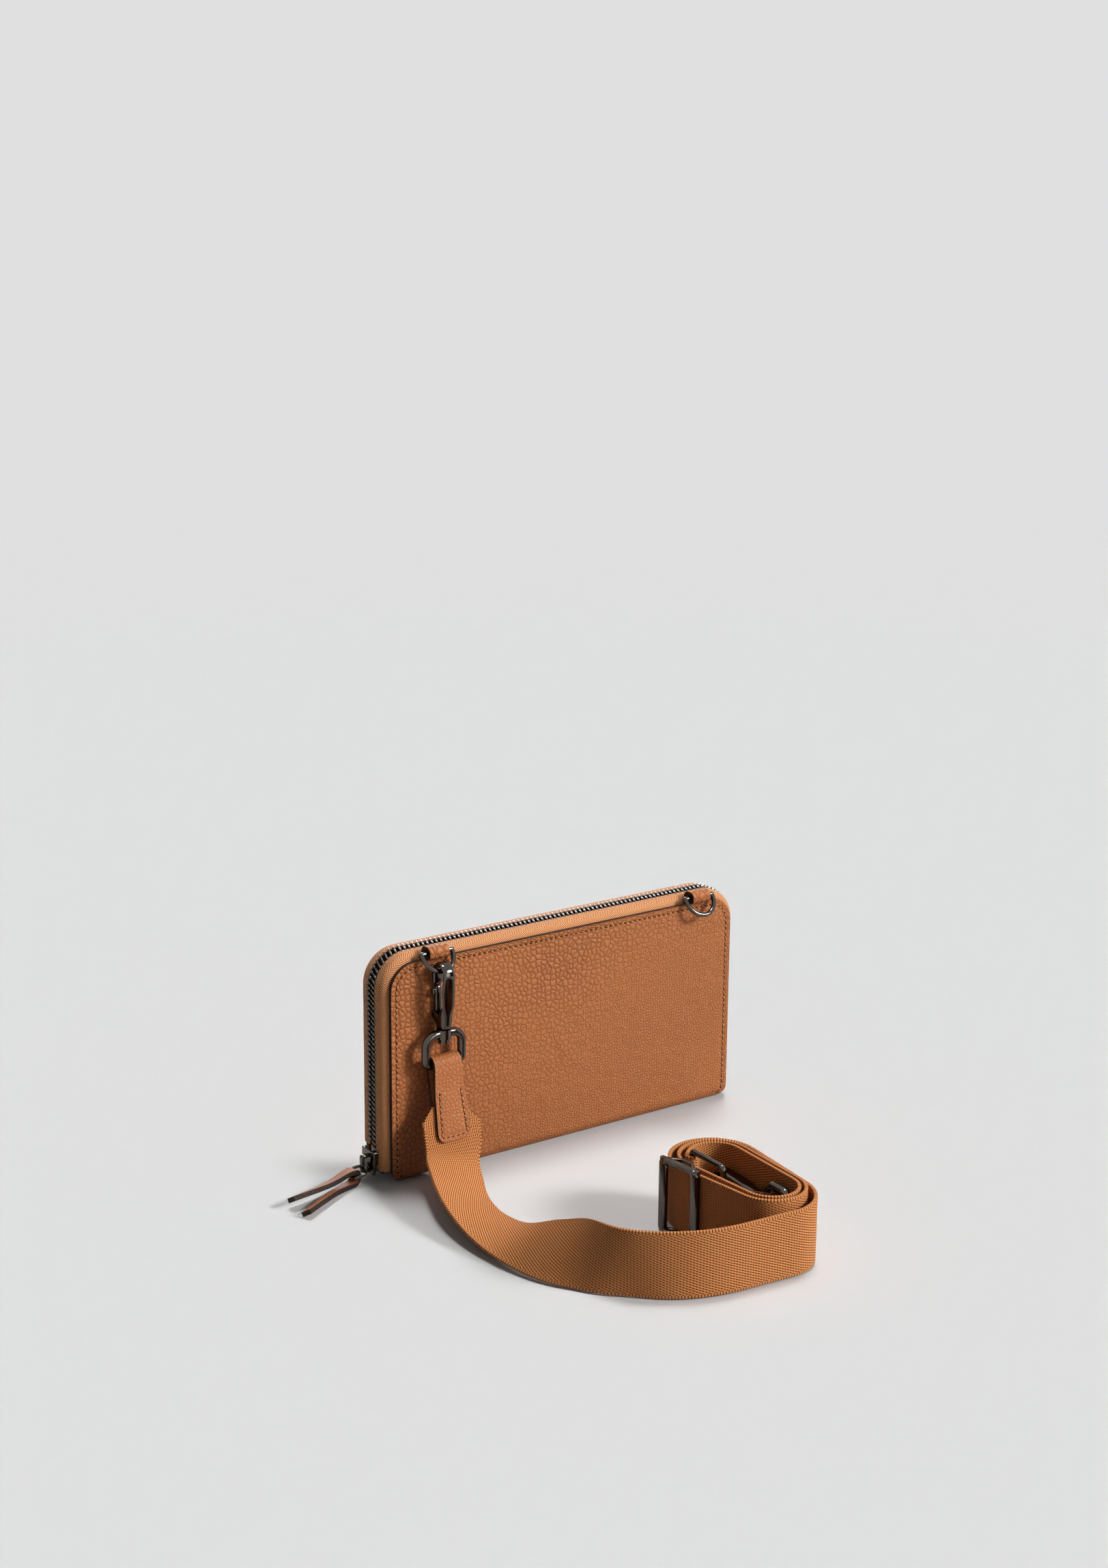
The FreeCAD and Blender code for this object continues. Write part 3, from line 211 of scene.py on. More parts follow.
@dataclass(frozen=True)
class PebbledLeather(Finish):
    """Pigment-dyed cowhide, drum-tumbled: soft pebbles, painted shade in the creases, coarse here and fine
    there.
    """

    # The crease colour below is painted shade: the creases between pebbles darken towards it.
    crease: str = "#7a401c"
    coarse_mm: float = 2.5
    fine_mm: float = 1.35
    relief_mm: float = 0.46
    relief: float = 0.9
    warp: float = 0.6
    scatter: float = 0.85
    dome: Pair = (-0.1, 0.42)
    hide_mm: float = 60.0
    hide_share: float = 1.2
    finer_towards: Place = (3.6, 0.0, -6.5)
    finer_range: Pair = (-0.1, 0.55)
    fine_height: float = 0.6
    fold_mm: float = 8.0
    fold_height: float = 1.3
    pore_mm: float = 0.4
    pore_height: float = 0.07
    painted_crease_shade_reach: float = 0.7
    painted_crease_shade_lightness: float = 0.2
    crease_dulls: float = 0.16
    cloud_range: Pair = (0.3, 0.7)
    cloud_tone: Pair = (0.95, 1.05)
    mirror: float = 0.25

    def pebbles(self, tree: Tree, lay: Node, size_mm: float) -> Node:
        """Add one size of pebble: the distance to the nearest crease between scattered spots, as a dome.

        Args:
            tree: The material's node tree.
            lay: The lay map, in millimetres.
            size_mm: The width of a pebble.

        Returns:
            The dome's height, from 0 in a crease to 1.
        """
        drift = add(tree, "TexNoise", {"Vector": lay, "Scale": 1.0 / size_mm, "Detail": 1.0})
        middle = add(tree, "VectorMath", {0: drift.outputs["Color"], 1: (0.5, 0.5, 0.5)},
                     operation="SUBTRACT")
        push = add(tree, "VectorMath", {0: middle, "Scale": size_mm * self.warp}, operation="SCALE")
        warped = add(tree, "VectorMath", {0: lay, 1: push}, operation="ADD")
        cells = add(tree, "TexVoronoi", {"Vector": warped, "Scale": 1.0 / size_mm,
                                         "Randomness": self.scatter}, feature="DISTANCE_TO_EDGE",
                    voronoi_dimensions="2D")
        return add(tree, "MapRange", {"Value": cells.outputs["Distance"], **span(self.dome)},
                   interpolation_type="SMOOTHSTEP")

    def look(self, tree: Tree, shader: Node) -> None:
        """Add two sizes of pebble mixed over the hide, slow folds, fine pores, cloudy colour, painted shade
        in creases.

        Args:
            tree: The material's node tree.
            shader: Its shader.
        """
        place = add(tree, "TexCoord").outputs["Object"]
        lay = add(tree, "UVMap", uv_map="lay")
        hide = add(tree, "TexNoise", {"Vector": place, "Scale": per_mm(self.hide_mm), "Detail": 2.0})
        slope = add(tree, "VectorMath", {0: place, 1: self.finer_towards}, operation="DOT_PRODUCT")
        part = add(tree, "Math", {0: hide, 1: self.hide_share, 2: slope.outputs["Value"]},
                   operation="MULTIPLY_ADD")
        fine = add(tree, "MapRange", {"Value": part, **span(self.finer_range)})
        dome = add(tree, "Mix", {0: fine, 2: self.pebbles(tree, lay, self.coarse_mm),
                                 3: self.pebbles(tree, lay, self.fine_mm)})
        shrink = add(tree, "MapRange", {"Value": fine, "To Min": 1.0, "To Max": self.fine_height})
        swell = add(tree, "Math", {0: dome, 1: shrink}, operation="MULTIPLY")
        folds = add(tree, "TexNoise", {"Vector": lay, "Scale": 1.0 / self.fold_mm, "Detail": 1.0})
        rolling = add(tree, "Math", {0: folds, 1: self.fold_height, 2: swell}, operation="MULTIPLY_ADD")
        pores = add(tree, "TexNoise", {"Vector": lay, "Scale": 1.0 / self.pore_mm, "Detail": 2.0})
        height = add(tree, "Math", {0: pores, 1: self.pore_height, 2: rolling}, operation="MULTIPLY_ADD")
        bump = add(tree, "Bump", {"Strength": self.relief, "Distance": self.relief_mm * MM, "Height": height})
        # Painted shade: the colour darkens towards the crease colour in the creases between pebbles.
        depth = add(tree, "MapRange", {"Value": dome, "From Max": self.painted_crease_shade_reach,
                                       "To Min": self.painted_crease_shade_lightness, "To Max": 1.0})
        body = add(tree, "Mix", {0: depth, 6: linear(self.crease), 7: linear(self.colour)}, data_type="RGBA")
        tone = add(tree, "MapRange", {"Value": hide, **span(self.cloud_range), "To Min": self.cloud_tone[0],
                                      "To Max": self.cloud_tone[1]})
        toned = add(tree, "HueSaturation", {"Color": body.outputs[2], "Value": tone})
        dull = add(tree, "MapRange", {"Value": dome, "To Min": self.roughness + self.crease_dulls,
                                      "To Max": self.roughness})
        feed(tree, shader, {"Base Color": toned, "Roughness": dull, "Normal": bump,
                            "Specular IOR Level": self.mirror})


@dataclass(frozen=True)
class EdgePaint(Finish):
    """Rolled-on edge paint over cut leather: near black, satin, slightly wavy."""

    worn: str = "#3d2c20"
    worn_range: Pair = (0.45, 0.8)
    ripple_mm: float = 1.4
    relief_mm: float = 0.1
    relief: float = 0.3
    mirror: float = 0.2

    def look(self, tree: Tree, shader: Node) -> None:
        """Add the slow ripple that a roller leaves, and worn lighter patches.

        Args:
            tree: The material's node tree.
            shader: Its shader.
        """
        place = add(tree, "TexCoord").outputs["Object"]
        ripple = add(tree, "TexNoise", {"Vector": place, "Scale": per_mm(self.ripple_mm), "Detail": 2.0})
        bump = add(tree, "Bump", {"Strength": self.relief, "Distance": self.relief_mm * MM, "Height": ripple})
        wear = add(tree, "MapRange", {"Value": ripple, **span(self.worn_range)})
        body = add(tree, "Mix", {0: wear, 6: linear(self.colour), 7: linear(self.worn)}, data_type="RGBA")
        feed(tree, shader, {"Base Color": body.outputs[2], "Normal": bump, "Specular IOR Level": self.mirror})


@dataclass(frozen=True)
class SewingThread(Finish):
    """Bonded polyester thread: two twisted plies with painted shade between them, a low sheen, drawn coarse
    enough to show.
    """

    # The shade colour below is painted shade for the grooves between the plies.
    shade: str = "#8f5220"
    ply_mm: float = 2.4
    unevenness: float = 0.6
    relief_mm: float = 0.08
    relief: float = 0.5
    sheen: float = 0.2

    def look(self, tree: Tree, shader: Node) -> None:
        """Add the plies as fine diagonal bands, with painted shade in the grooves between them.

        Args:
            tree: The material's node tree.
            shader: Its shader.
        """
        place = add(tree, "TexCoord").outputs["Object"]
        ply = add(tree, "TexWave", {"Vector": place, "Scale": per_mm(self.ply_mm),
                                    "Distortion": self.unevenness}, bands_direction="DIAGONAL").outputs["Fac"]
        body = add(tree, "Mix", {0: ply, 6: linear(self.shade), 7: linear(self.colour)}, data_type="RGBA")
        bump = add(tree, "Bump", {"Strength": self.relief, "Distance": self.relief_mm * MM, "Height": ply})
        feed(tree, shader, {"Base Color": body.outputs[2], "Normal": bump, "Sheen Weight": self.sheen})


@dataclass(frozen=True)
class HerringboneTape(Finish):
    """Woven polyester zip tape: diagonal ribs that turn back in bands along the chain, painted shade in the
    valleys.
    """

    # The darker colour below is painted shade for the valleys between the ribs.
    painted_valley_shade: str = "#93532b"
    rib_mm: float = 0.95
    band_mm: float = 2.1
    slant: float = 0.9
    rib_range: Pair = (-0.8, 0.7)
    fibres_per_mm: float = 3.2
    fibre_height: float = 0.3
    relief_mm: float = 0.2
    relief: float = 0.8
    sheen: float = 0.08

    def look(self, tree: Tree, shader: Node) -> None:
        """Add ribs that follow the length plus a to-and-fro of the width, on the lay map, with painted shade
        in the valleys.

        Args:
            tree: The material's node tree.
            shader: Its shader.
        """
        lay = add(tree, "UVMap", uv_map="lay")
        split = add(tree, "SeparateXYZ", {0: lay})
        turn = add(tree, "Math", {0: split.outputs["X"], 1: self.band_mm}, operation="PINGPONG")
        run = add(tree, "Math", {0: turn, 1: self.slant, 2: split.outputs["Y"]}, operation="MULTIPLY_ADD")
        phase = add(tree, "Math", {0: run, 1: 2.0 * math.pi / self.rib_mm}, operation="MULTIPLY")
        wave = add(tree, "Math", {0: phase}, operation="SINE")
        rib = add(tree, "MapRange", {"Value": wave, **span(self.rib_range)}, interpolation_type="SMOOTHSTEP")
        fibre = add(tree, "TexNoise", {"Vector": lay, "Scale": self.fibres_per_mm, "Detail": 3.0})
        height = add(tree, "Math", {0: fibre, 1: self.fibre_height, 2: rib}, operation="MULTIPLY_ADD")
        bump = add(tree, "Bump", {"Strength": self.relief, "Distance": self.relief_mm * MM, "Height": height})
        # Painted shade: the valleys between the ribs take the darker colour.
        body = add(tree, "Mix", {0: rib, 6: linear(self.painted_valley_shade), 7: linear(self.colour)}, data_type="RGBA")
        feed(tree, shader, {"Base Color": body.outputs[2], "Normal": bump, "Sheen Weight": self.sheen})


@dataclass(frozen=True)
class BasketWebbing(Finish):
    """Polyester strap webbing: plump yarns, a short slanted gap in each step painted dark as shade, ribbed
    edges.
    """

    # The gap colour below is painted shade for the gaps between yarns and the hollows between the edge ribs.
    gap: str = "#4b230c"
    step_mm: float = 1.1
    row_mm: float = 1.3
    gap_half: Pair = (0.22, 0.48)
    gap_lean: float = 0.45
    yarn_range: Pair = (0.5, 1.3)
    selvedge_mm: float = 13.2
    selvedge_ease_mm: float = 0.5
    rib_range: Pair = (0.5, 0.2)
    fibres_per_mm: float = 3.0
    fibre_height: float = 0.3
    relief_mm: float = 0.28
    relief: float = 0.8
    sheen: float = 0.05
    mirror: float = 0.2

    def yarns(self, tree: Tree, across: Socket, along: Socket) -> Node:
        """Add the weave: rows along the strap, every other one moved by half a step.

        A gap is an ellipse in each step of a row, and towards the selvedges the rows turn to ribs.

        Args:
            tree: The material's node tree.
            across: Distance across the strap from its middle line.
            along: Distance along the strap.

        Returns:
            The yarns' height, from 0 in a gap to 1, which also masks the painted shade.
        """
        rows = add(tree, "Math", {0: along, 1: 1.0 / self.row_mm}, operation="MULTIPLY")
        in_row = add(tree, "Math", {0: rows}, operation="FRACT")
        rise = add(tree, "Math", {0: in_row, 1: 0.5}, operation="SUBTRACT")
        number = add(tree, "Math", {0: rows}, operation="FLOOR")
        moved = add(tree, "Math", {0: number, 1: 0.5}, operation="MULTIPLY")
        leaning = add(tree, "Math", {0: rise, 1: self.gap_lean, 2: moved}, operation="MULTIPLY_ADD")
        steps = add(tree, "Math", {0: across, 1: 1.0 / self.step_mm, 2: leaning}, operation="MULTIPLY_ADD")
        in_step = add(tree, "Math", {0: steps}, operation="FRACT")
        side = add(tree, "Math", {0: in_step, 1: 0.5}, operation="SUBTRACT")
        spot = add(tree, "CombineXYZ", {"X": side, "Y": rise})
        stretch = (1.0 / self.gap_half[0], 1.0 / self.gap_half[1], 0.0)
        stretched = add(tree, "VectorMath", {0: spot, 1: stretch}, operation="MULTIPLY")
        away = add(tree, "VectorMath", {0: stretched}, operation="LENGTH")
        yarn = add(tree, "MapRange", {"Value": away.outputs["Value"], **span(self.yarn_range)},
                   interpolation_type="SMOOTHSTEP")
        in_rib = add(tree, "Math", {0: rise}, operation="ABSOLUTE")
        rib = add(tree, "MapRange", {"Value": in_rib, **span(self.rib_range)},
                  interpolation_type="SMOOTHSTEP")
        wide = add(tree, "Math", {0: across}, operation="ABSOLUTE")
        border = add(tree, "MapRange", {"Value": wide, "From Min": self.selvedge_mm - self.selvedge_ease_mm,
                                        "From Max": self.selvedge_mm})
        return add(tree, "Mix", {0: border, 2: yarn, 3: rib})

    def look(self, tree: Tree, shader: Node) -> None:
        """Add the weave on the lay map, with loose fibres on it, and painted shade in its gaps and between
        its ribs.

        Args:
            tree: The material's node tree.
            shader: Its shader.
        """
        lay = add(tree, "UVMap", uv_map="lay")
        split = add(tree, "SeparateXYZ", {0: lay})
        weave = self.yarns(tree, split.outputs["X"], split.outputs["Y"])
        fibre = add(tree, "TexNoise", {"Vector": lay, "Scale": self.fibres_per_mm, "Detail": 3.0})
        height = add(tree, "Math", {0: fibre, 1: self.fibre_height, 2: weave}, operation="MULTIPLY_ADD")
        bump = add(tree, "Bump", {"Strength": self.relief, "Distance": self.relief_mm * MM, "Height": height})
        # Painted shade: where the weave is low, in the gaps and between the ribs, the colour turns to the
        # dark gap colour.
        body = add(tree, "Mix", {0: weave, 6: linear(self.gap), 7: linear(self.colour)}, data_type="RGBA")
        feed(tree, shader, {"Base Color": body.outputs[2], "Normal": bump, "Sheen Weight": self.sheen,
                            "Specular IOR Level": self.mirror})


@dataclass(frozen=True)
class LiningCloth(Finish):
    """Plain-woven lining: square weave, matte and dark, drawn coarse enough to show."""

    # The shade colour below is painted shade for the threads where they pass under.
    shade: str = "#2a1a10"
    thread_mm: float = 0.7
    relief_mm: float = 0.1
    relief: float = 0.4

    def look(self, tree: Tree, shader: Node) -> None:
        """Add crossing threads, over and under by turns, as a check on the lay map, with the threads that
        pass under painted in shade.

        Args:
            tree: The material's node tree.
            shader: Its shader.
        """
        lay = add(tree, "UVMap", uv_map="lay")
        checks = add(tree, "TexChecker", {"Vector": lay, "Scale": 1.0 / self.thread_mm,
                                          "Color1": linear(self.colour), "Color2": linear(self.shade)})
        bump = add(tree, "Bump", {"Strength": self.relief, "Distance": self.relief_mm * MM,
                                  "Height": checks.outputs["Fac"]})
        feed(tree, shader, {"Base Color": checks.outputs["Color"], "Normal": bump})


@dataclass(frozen=True)
class Gunmetal(Finish):
    """Zinc casting or wire with a dark nickel plating, polished or tumbled satin."""

    spread: float = 0.05
    mark_mm: float = 2.5
    mark_range: Pair = (0.35, 0.7)

    def look(self, tree: Tree, shader: Node) -> None:
        """Add handling marks that change the gloss in patches and fine lines.

        Args:
            tree: The material's node tree.
            shader: Its shader.
        """
        place = add(tree, "TexCoord").outputs["Object"]
        marks = add(tree, "TexNoise", {"Vector": place, "Scale": per_mm(self.mark_mm), "Detail": 4.0})
        dull = add(tree, "MapRange", {"Value": marks, **span(self.mark_range), "To Min": self.roughness,
                                      "To Max": self.roughness + self.spread})
        feed(tree, shader, {"Roughness": dull, "Metallic": 1.0})


@dataclass
class Finishes:
    """All finishes of the pouch, made once."""

    # The leather finishes darken their creases to painted shade: the fourth value, or the default colour.
    tan: Material = field(default_factory=PebbledLeather("tan_pebbled_leather", "#af6b3d", 0.48).make)
    tab: Material = field(default_factory=PebbledLeather(
        "tan_tab_leather", "#b06d41", 0.48, "#95572e", coarse_mm=1.8, fine_mm=1.8, relief_mm=0.22).make)
    smooth: Material = field(default_factory=PebbledLeather(
        "tan_smooth_leather", "#92552f", 0.5, coarse_mm=0.8, fine_mm=0.8, relief_mm=0.06).make)
    inner: Material = field(default_factory=PebbledLeather(
        "brown_inner_leather", "#6d4128", 0.6, "#4a2a18", coarse_mm=0.9, fine_mm=0.8, relief_mm=0.06).make)
    edge: Material = field(default_factory=EdgePaint("dark_edge_paint", "#1f1510", 0.6).make)
    # needle_hole_shade: the dark discs painted as the shade inside the needle holes.
    hole: Material = field(default_factory=EdgePaint("needle_hole_shade", "#1a0f09", 0.9).make)
    thread: Material = field(default_factory=SewingThread("tan_sewing_thread", "#c98338", 0.6).make)
    tape: Material = field(default_factory=HerringboneTape("tan_herringbone_tape", "#eda86e", 0.8).make)
    webbing: Material = field(default_factory=BasketWebbing("tan_basket_webbing", "#cb834a", 0.78).make)
    cloth: Material = field(default_factory=LiningCloth("dark_lining_cloth", "#3c2618", 0.9).make)
    polished: Material = field(default_factory=Gunmetal("polished_gunmetal", "#5a5550", 0.07).make)
    satin: Material = field(default_factory=Gunmetal("tumbled_gunmetal", "#5b5652", 0.2).make)


def unit(ways: Array) -> Array:
    """Scale each row to a length of 1."""
    return ways / np.linalg.norm(ways, axis=-1, keepdims=True)


def reach_along(path: Array) -> Array:
    """Distance of each point of a line from its first one: the running sum of its steps."""
    return np.concatenate([[0.0], np.cumsum(np.linalg.norm(np.diff(path, axis=0), axis=1))])


def circle(count: int) -> Array:
    """Angles once round, in even steps."""
    return np.linspace(0.0, 2.0 * math.pi, count, endpoint=False)


def squared(angle: Array, power: float) -> tuple[Array, Array]:
    """A superellipse: the cosine and the sine of each angle, their sizes raised to a power."""
    wide, tall = np.cos(angle), np.sin(angle)
    return np.sign(wide) * np.abs(wide) ** power, np.sign(tall) * np.abs(tall) ** power


def arc(centre: Pair, radius: float, first: float, last: float, count: int) -> Array:
    """Points on a circle in a plane, from one angle to another in degrees."""
    angle = np.radians(np.linspace(first, last, count))
    return np.stack([centre[0] + radius * np.cos(angle), centre[1] + radius * np.sin(angle)], -1)


def turned(points: Array, degrees: float) -> Array:
    """Turn points about the upright axis: X and Y mixed by the angle's cosine and sine, the rest kept.

    Args:
        points: Points with X and Y first.
        degrees: The angle.

    Returns:
        The turned points.
    """
    angle = math.radians(degrees)
    x, y = points[..., :1], points[..., 1:2]
    turned_x = x * math.cos(angle) - y * math.sin(angle)
    turned_y = x * math.sin(angle) + y * math.cos(angle)
    return np.concatenate([turned_x, turned_y, points[..., 2:]], -1)


def grid_of(x: Array, y: Array, z: Array) -> Array:
    """Stack coordinates, each given for rows, for columns or for both, into a grid of points."""
    return np.stack(np.broadcast_arrays(x, y, z), -1)


def quads(rows: int, cols: int, wrap: bool) -> Array:
    """Number the quads of a grid of points, row by row, with the last row joined to the first if it wraps.

    Args:
        rows: Points along.
        cols: Points across.
        wrap: Whether the last row joins the first.

    Returns:
        Four point numbers a quad.
    """
    index = np.arange(rows * cols).reshape(rows, cols)
    if wrap:
        index = np.vstack([index, index[:1]])
    return np.stack([index[:-1, :-1], index[:-1, 1:], index[1:, 1:], index[1:, :-1]], -1).reshape(-1, 4)


def new_piece(name: str, points: Array, faces: list[list[int]], finishes: list[Material],
              lay: Array | None = None) -> Piece:
    """Turn points and faces into an object at the origin.

    Args:
        name: The piece's name.
        points: Points in millimetres, in any grid shape with a last axis of three.
        faces: Point numbers of each face.
        finishes: The piece's materials.
        lay: The way the piece lies flat, in millimetres, for each point.

    Returns:
        The new object.
    """
    mesh = bpy.data.meshes.new(name)
    mesh.from_pydata((points.reshape(-1, 3) * MM).tolist(), [], faces)
    mesh.polygons.foreach_set("use_smooth", np.ones(len(faces), bool))
    if lay is not None:
        layer = mesh.uv_layers.new(name="lay")
        layer.data.foreach_set("uv", lay.reshape(-1, 2)[np.concatenate(faces)].astype(np.float32).ravel())
    for finish in finishes:
        mesh.materials.append(finish)
    mesh.update()
    piece = bpy.data.objects.new(name, mesh)
    bpy.context.scene.collection.objects.link(piece)
    return piece


def surface(name: str, points: Array, finishes: list[Material], towards: Place, wrap: bool = False) -> Piece:
    """Turn a grid of points into a sheet whose faces point, taken together, towards a direction.

    The lay map gives each point its distance across and along the sheet: running sums of the grid's steps.

    Args:
        name: The piece's name.
        points: Grid of points in millimetres, rows along and columns across.
        finishes: The sheet's materials.
        towards: A direction on the sheet's outer side.
        wrap: Whether the last row joins the first.

    Returns:
        The new object.
    """
    rows, cols = points.shape[:2]
    along = np.linalg.norm(np.diff(points, axis=0), axis=2).mean(1)
    across = np.linalg.norm(np.diff(points, axis=1), axis=2)
    lay = np.zeros((rows, cols, 2))
    lay[:, 1:, 0] = np.cumsum(across, axis=1)
    lay[:, :, 0] -= lay[:, -1:, 0] / 2.0
    lay[1:, :, 1] = np.cumsum(along)[:, None]
    faces = quads(rows, cols, wrap)
    flat = points.reshape(-1, 3)
    normals = np.cross(flat[faces[:, 2]] - flat[faces[:, 0]], flat[faces[:, 3]] - flat[faces[:, 1]])
    if float(normals.sum(0) @ np.array(towards)) < 0.0:
        faces = faces[:, ::-1]
    return new_piece(name, points, faces.tolist(), finishes, lay)


def lofts(name: str, rings: Array, finish: Material, closed: bool = False) -> Piece:
    """Close rings of points into solid bars, any number of bars in one piece.

    Each ring is joined to the next by quads, a bar's first and last rings are filled, and the whole is turned
    so that its volume, the sum of the triple products of its triangles, comes out positive.

    Args:
        name: The piece's name.
        rings: Points in millimetres by bar, station, place on the ring and axis.
        finish: The piece's material.
        closed: Whether the last ring joins the first, so that no ring is filled.

    Returns:
        The new object.
    """
    bars, stations, around = rings.shape[:3]
    place = np.arange(around)
    after = (place + 1) % around
    here = np.arange(stations if closed else stations - 1)[:, None] * around
    there = (here + around) % (stations * around)
    walls = np.stack([here + place, here + after, there + after, there + place], -1).reshape(-1, 4)
    ends = np.stack([place[::-1], place + (stations - 1) * around])[:0 if closed else 2]
    fans = np.stack([np.repeat(ends[:, :1], around - 2, 1), ends[:, 1:-1], ends[:, 2:]], -1).reshape(-1, 3)
    corners = np.concatenate([walls[:, :3], walls[:, [0, 2, 3]], fans])
    bar = rings[0].reshape(-1, 3)
    one, two, three = (bar[corners[:, at]] - bar.mean(0) for at in range(3))
    if float((one * np.cross(two, three)).sum()) < 0.0:
        walls, ends = walls[:, ::-1], ends[:, ::-1]
    first = (np.arange(bars) * stations * around)[:, None, None]
    faces = (first + walls).reshape(-1, 4).tolist() + (first + ends).reshape(-1, around).tolist()
    return new_piece(name, rings, faces, [finish])


def round_edges(piece: Piece, name: str, radius: float, segments: int, angle: float) -> None:
    """Round the edges of a piece that turn by more than an angle.

    Args:
        piece: The piece.
        name: The modifier's name.
        radius: In millimetres.
        segments: How many faces a rounded edge gets.
        angle: In degrees.
    """
    bevel = piece.modifiers.new(name, "BEVEL")
    bevel.width = radius * MM
    bevel.segments = segments
    bevel.limit_method = "ANGLE"
    bevel.angle_limit = math.radians(angle)
    bevel.harden_normals = True


def thicken(piece: Piece, thickness: float, offset: float, rim: int, soften: float) -> Piece:
    """Give a sheet its thickness, the finish of its cut edge and softened corners.

    Args:
        piece: The sheet.
        thickness: In millimetres.
        offset: -1 to grow inwards, 0 to grow to both sides.
        rim: How many materials further the cut edge's finish is.
        soften: Radius of the corners, in millimetres.

    Returns:
        The same piece.
    """
    solid = piece.modifiers.new("thickness", "SOLIDIFY")
    solid.thickness = thickness * MM
    solid.offset = offset
    solid.use_even_offset = True
    solid.material_offset_rim = rim
    round_edges(piece, "soft_edge", soften, segments=2, angle=50.0)
    return piece


def settle(piece: Piece, body: str, slot: Slot, *nodes: str) -> Piece:
    """Let a piece ride on its body and hide the solids that it stands for.

    Args:
        piece: The finished piece.
        body: The body that it rides on.
        slot: The record's slot of its finish; not used.
        nodes: The solids that it replaces.

    Returns:
        The same piece.
    """
    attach(piece, body)
    if nodes:
        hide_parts(*nodes)
    log.info("%s rides on %s", piece.name, body)
    return piece


def smooth_curve(stations: Array, points: Array, first: Array, last: Array, asked: Array) -> Array:
    """Draw the cubic curve with continuous curvature through points, with given slopes at its two ends.

    The slopes between follow from equal curvature at each point, a set of linear equations in one matrix.

    Args:
        stations: Distance of each point along the curve.
        points: The points, one a row.
        first: Slope at the first point.
        last: Slope at the last point.
        asked: The distances at which the curve is wanted.

    Returns:
        One point for each asked distance.
    """
    step = np.diff(stations)
    count = len(stations)
    system = np.zeros((count, count))
    wanted = np.zeros((count, points.shape[1]))
    system[0, 0] = system[-1, -1] = 1.0
    wanted[0], wanted[-1] = first, last
    inner = np.arange(1, count - 1)
    system[inner, inner - 1] = step[1:]
    system[inner, inner] = 2.0 * (step[:-1] + step[1:])
    system[inner, inner + 1] = step[:-1]
    rise = np.diff(points, axis=0) / step[:, None]
    wanted[1:-1] = 3.0 * (step[1:, None] * rise[:-1] + step[:-1, None] * rise[1:])
    slope = np.linalg.solve(system, wanted)
    at = np.clip(np.searchsorted(stations, asked, side="right") - 1, 0, count - 2)
    share = ((asked - stations[at]) / step[at])[:, None]
    span = step[at][:, None]
    return ((2 * share ** 3 - 3 * share ** 2 + 1) * points[at]
            + (share ** 3 - 2 * share ** 2 + share) * span * slope[at]
            + (3 * share ** 2 - 2 * share ** 3) * points[at + 1]
            + (share ** 3 - share ** 2) * span * slope[at + 1])


def even_spots(path: Array, pitch: float) -> tuple[Array, Array]:
    """Walk along a line of points in even steps.

    Args:
        path: The line, one point a row.
        pitch: The wanted step in millimetres.

    Returns:
        Evenly spaced points, and the unit directions of the line there.
    """
    reach = reach_along(path)
    count = max(2, int(round(reach[-1] / pitch)) + 1)
    asked = np.linspace(0.0, reach[-1], count)
    spots = np.stack([np.interp(asked, reach, path[:, axis]) for axis in range(path.shape[1])], -1)
    return spots, unit(np.gradient(spots, axis=0))


@dataclass(frozen=True)
class Seam:
    """A row of lockstitch: short arched threads, a little askew, between discs of painted shade over the
    needle holes.
    """

    name: str
    body: str
    share: float
    thread: float
    # hole, hole_lift and hole_length size and place the discs of painted shade over the needle holes.
    hole: float
    stations: Steps = (-0.5, -0.42, -0.2, 0.2, 0.42, 0.5)
    girths: Steps = (0.35, 0.8, 1.0, 1.0, 0.8, 0.35)
    lifts: Steps = (-0.6, 0.1, 0.6, 0.6, 0.1, -0.6)
    askew: float = 0.9
    hole_lift: float = 0.05
    hole_length: float = 0.95
    sides: int = 8

    def threads(self, points: Array, normals: Array) -> Array:
        """Lay one thread between each hole and the next: a ring carried along, thin and low at its two ends.

        Args:
            points: The needle holes in order.
            normals: The surface's normal at each hole.

        Returns:
            Rings of points, one bar a thread.
        """
        along = np.diff(points, axis=0) * self.share
        middle = (points[:-1] + points[1:]) / 2.0
        up = unit(normals[:-1] + normals[1:])
        side = unit(np.cross(up, along))
        along = along + side * self.thread * self.askew
        girth = np.array(self.girths)[:, None] * self.thread
        lift = np.array(self.lifts)[:, None] * self.thread
        angle = circle(self.sides)
        return (middle[:, None, None] + along[:, None, None] * np.array(self.stations)[None, :, None, None]
                + up[:, None, None] * (lift + girth * np.sin(angle))[None, :, :, None]
                + side[:, None, None] * (girth * np.cos(angle))[None, :, :, None])

    def hole_shade_discs(self, points: Array, tangents: Array, normals: Array) -> Array:
        """Set a flat ring of points round each needle hole, just over the leather, as a disc of painted
        shade.

        Args:
            points: The needle holes.
            tangents: The seam's direction at each.
            normals: The surface's normal at each.

        Returns:
            One ring a hole.
        """
        angle = circle(self.sides)
        side = np.cross(normals, tangents)
        return (points[:, None] + normals[:, None] * self.hole_lift
                + tangents[:, None] * (self.hole * self.hole_length * np.cos(angle))[None, :, None]
                + side[:, None] * (self.hole * np.sin(angle))[None, :, None])

    def sew(self, looks: Finishes, points: Array, tangents: Array, normals: Array) -> None:
        """Make the threads and the discs of painted shade over the holes.

        Args:
            looks: The finishes.
            points: The needle holes in order.
            tangents: The seam's direction at each hole.
            normals: The surface's normal at each hole.
        """
        settle(lofts(self.name, self.threads(points, normals), looks.thread), self.body, Slot.TAN)
        # The needle holes are dark discs laid on the leather: painted shade where the holes are.
        faces = np.arange(len(points) * self.sides).reshape(-1, self.sides).tolist()
        hole_shade_piece = new_piece(self.name + "_holes", self.hole_shade_discs(points, tangents, normals), faces, [looks.hole])
        settle(hole_shade_piece, self.body, Slot.TAN)


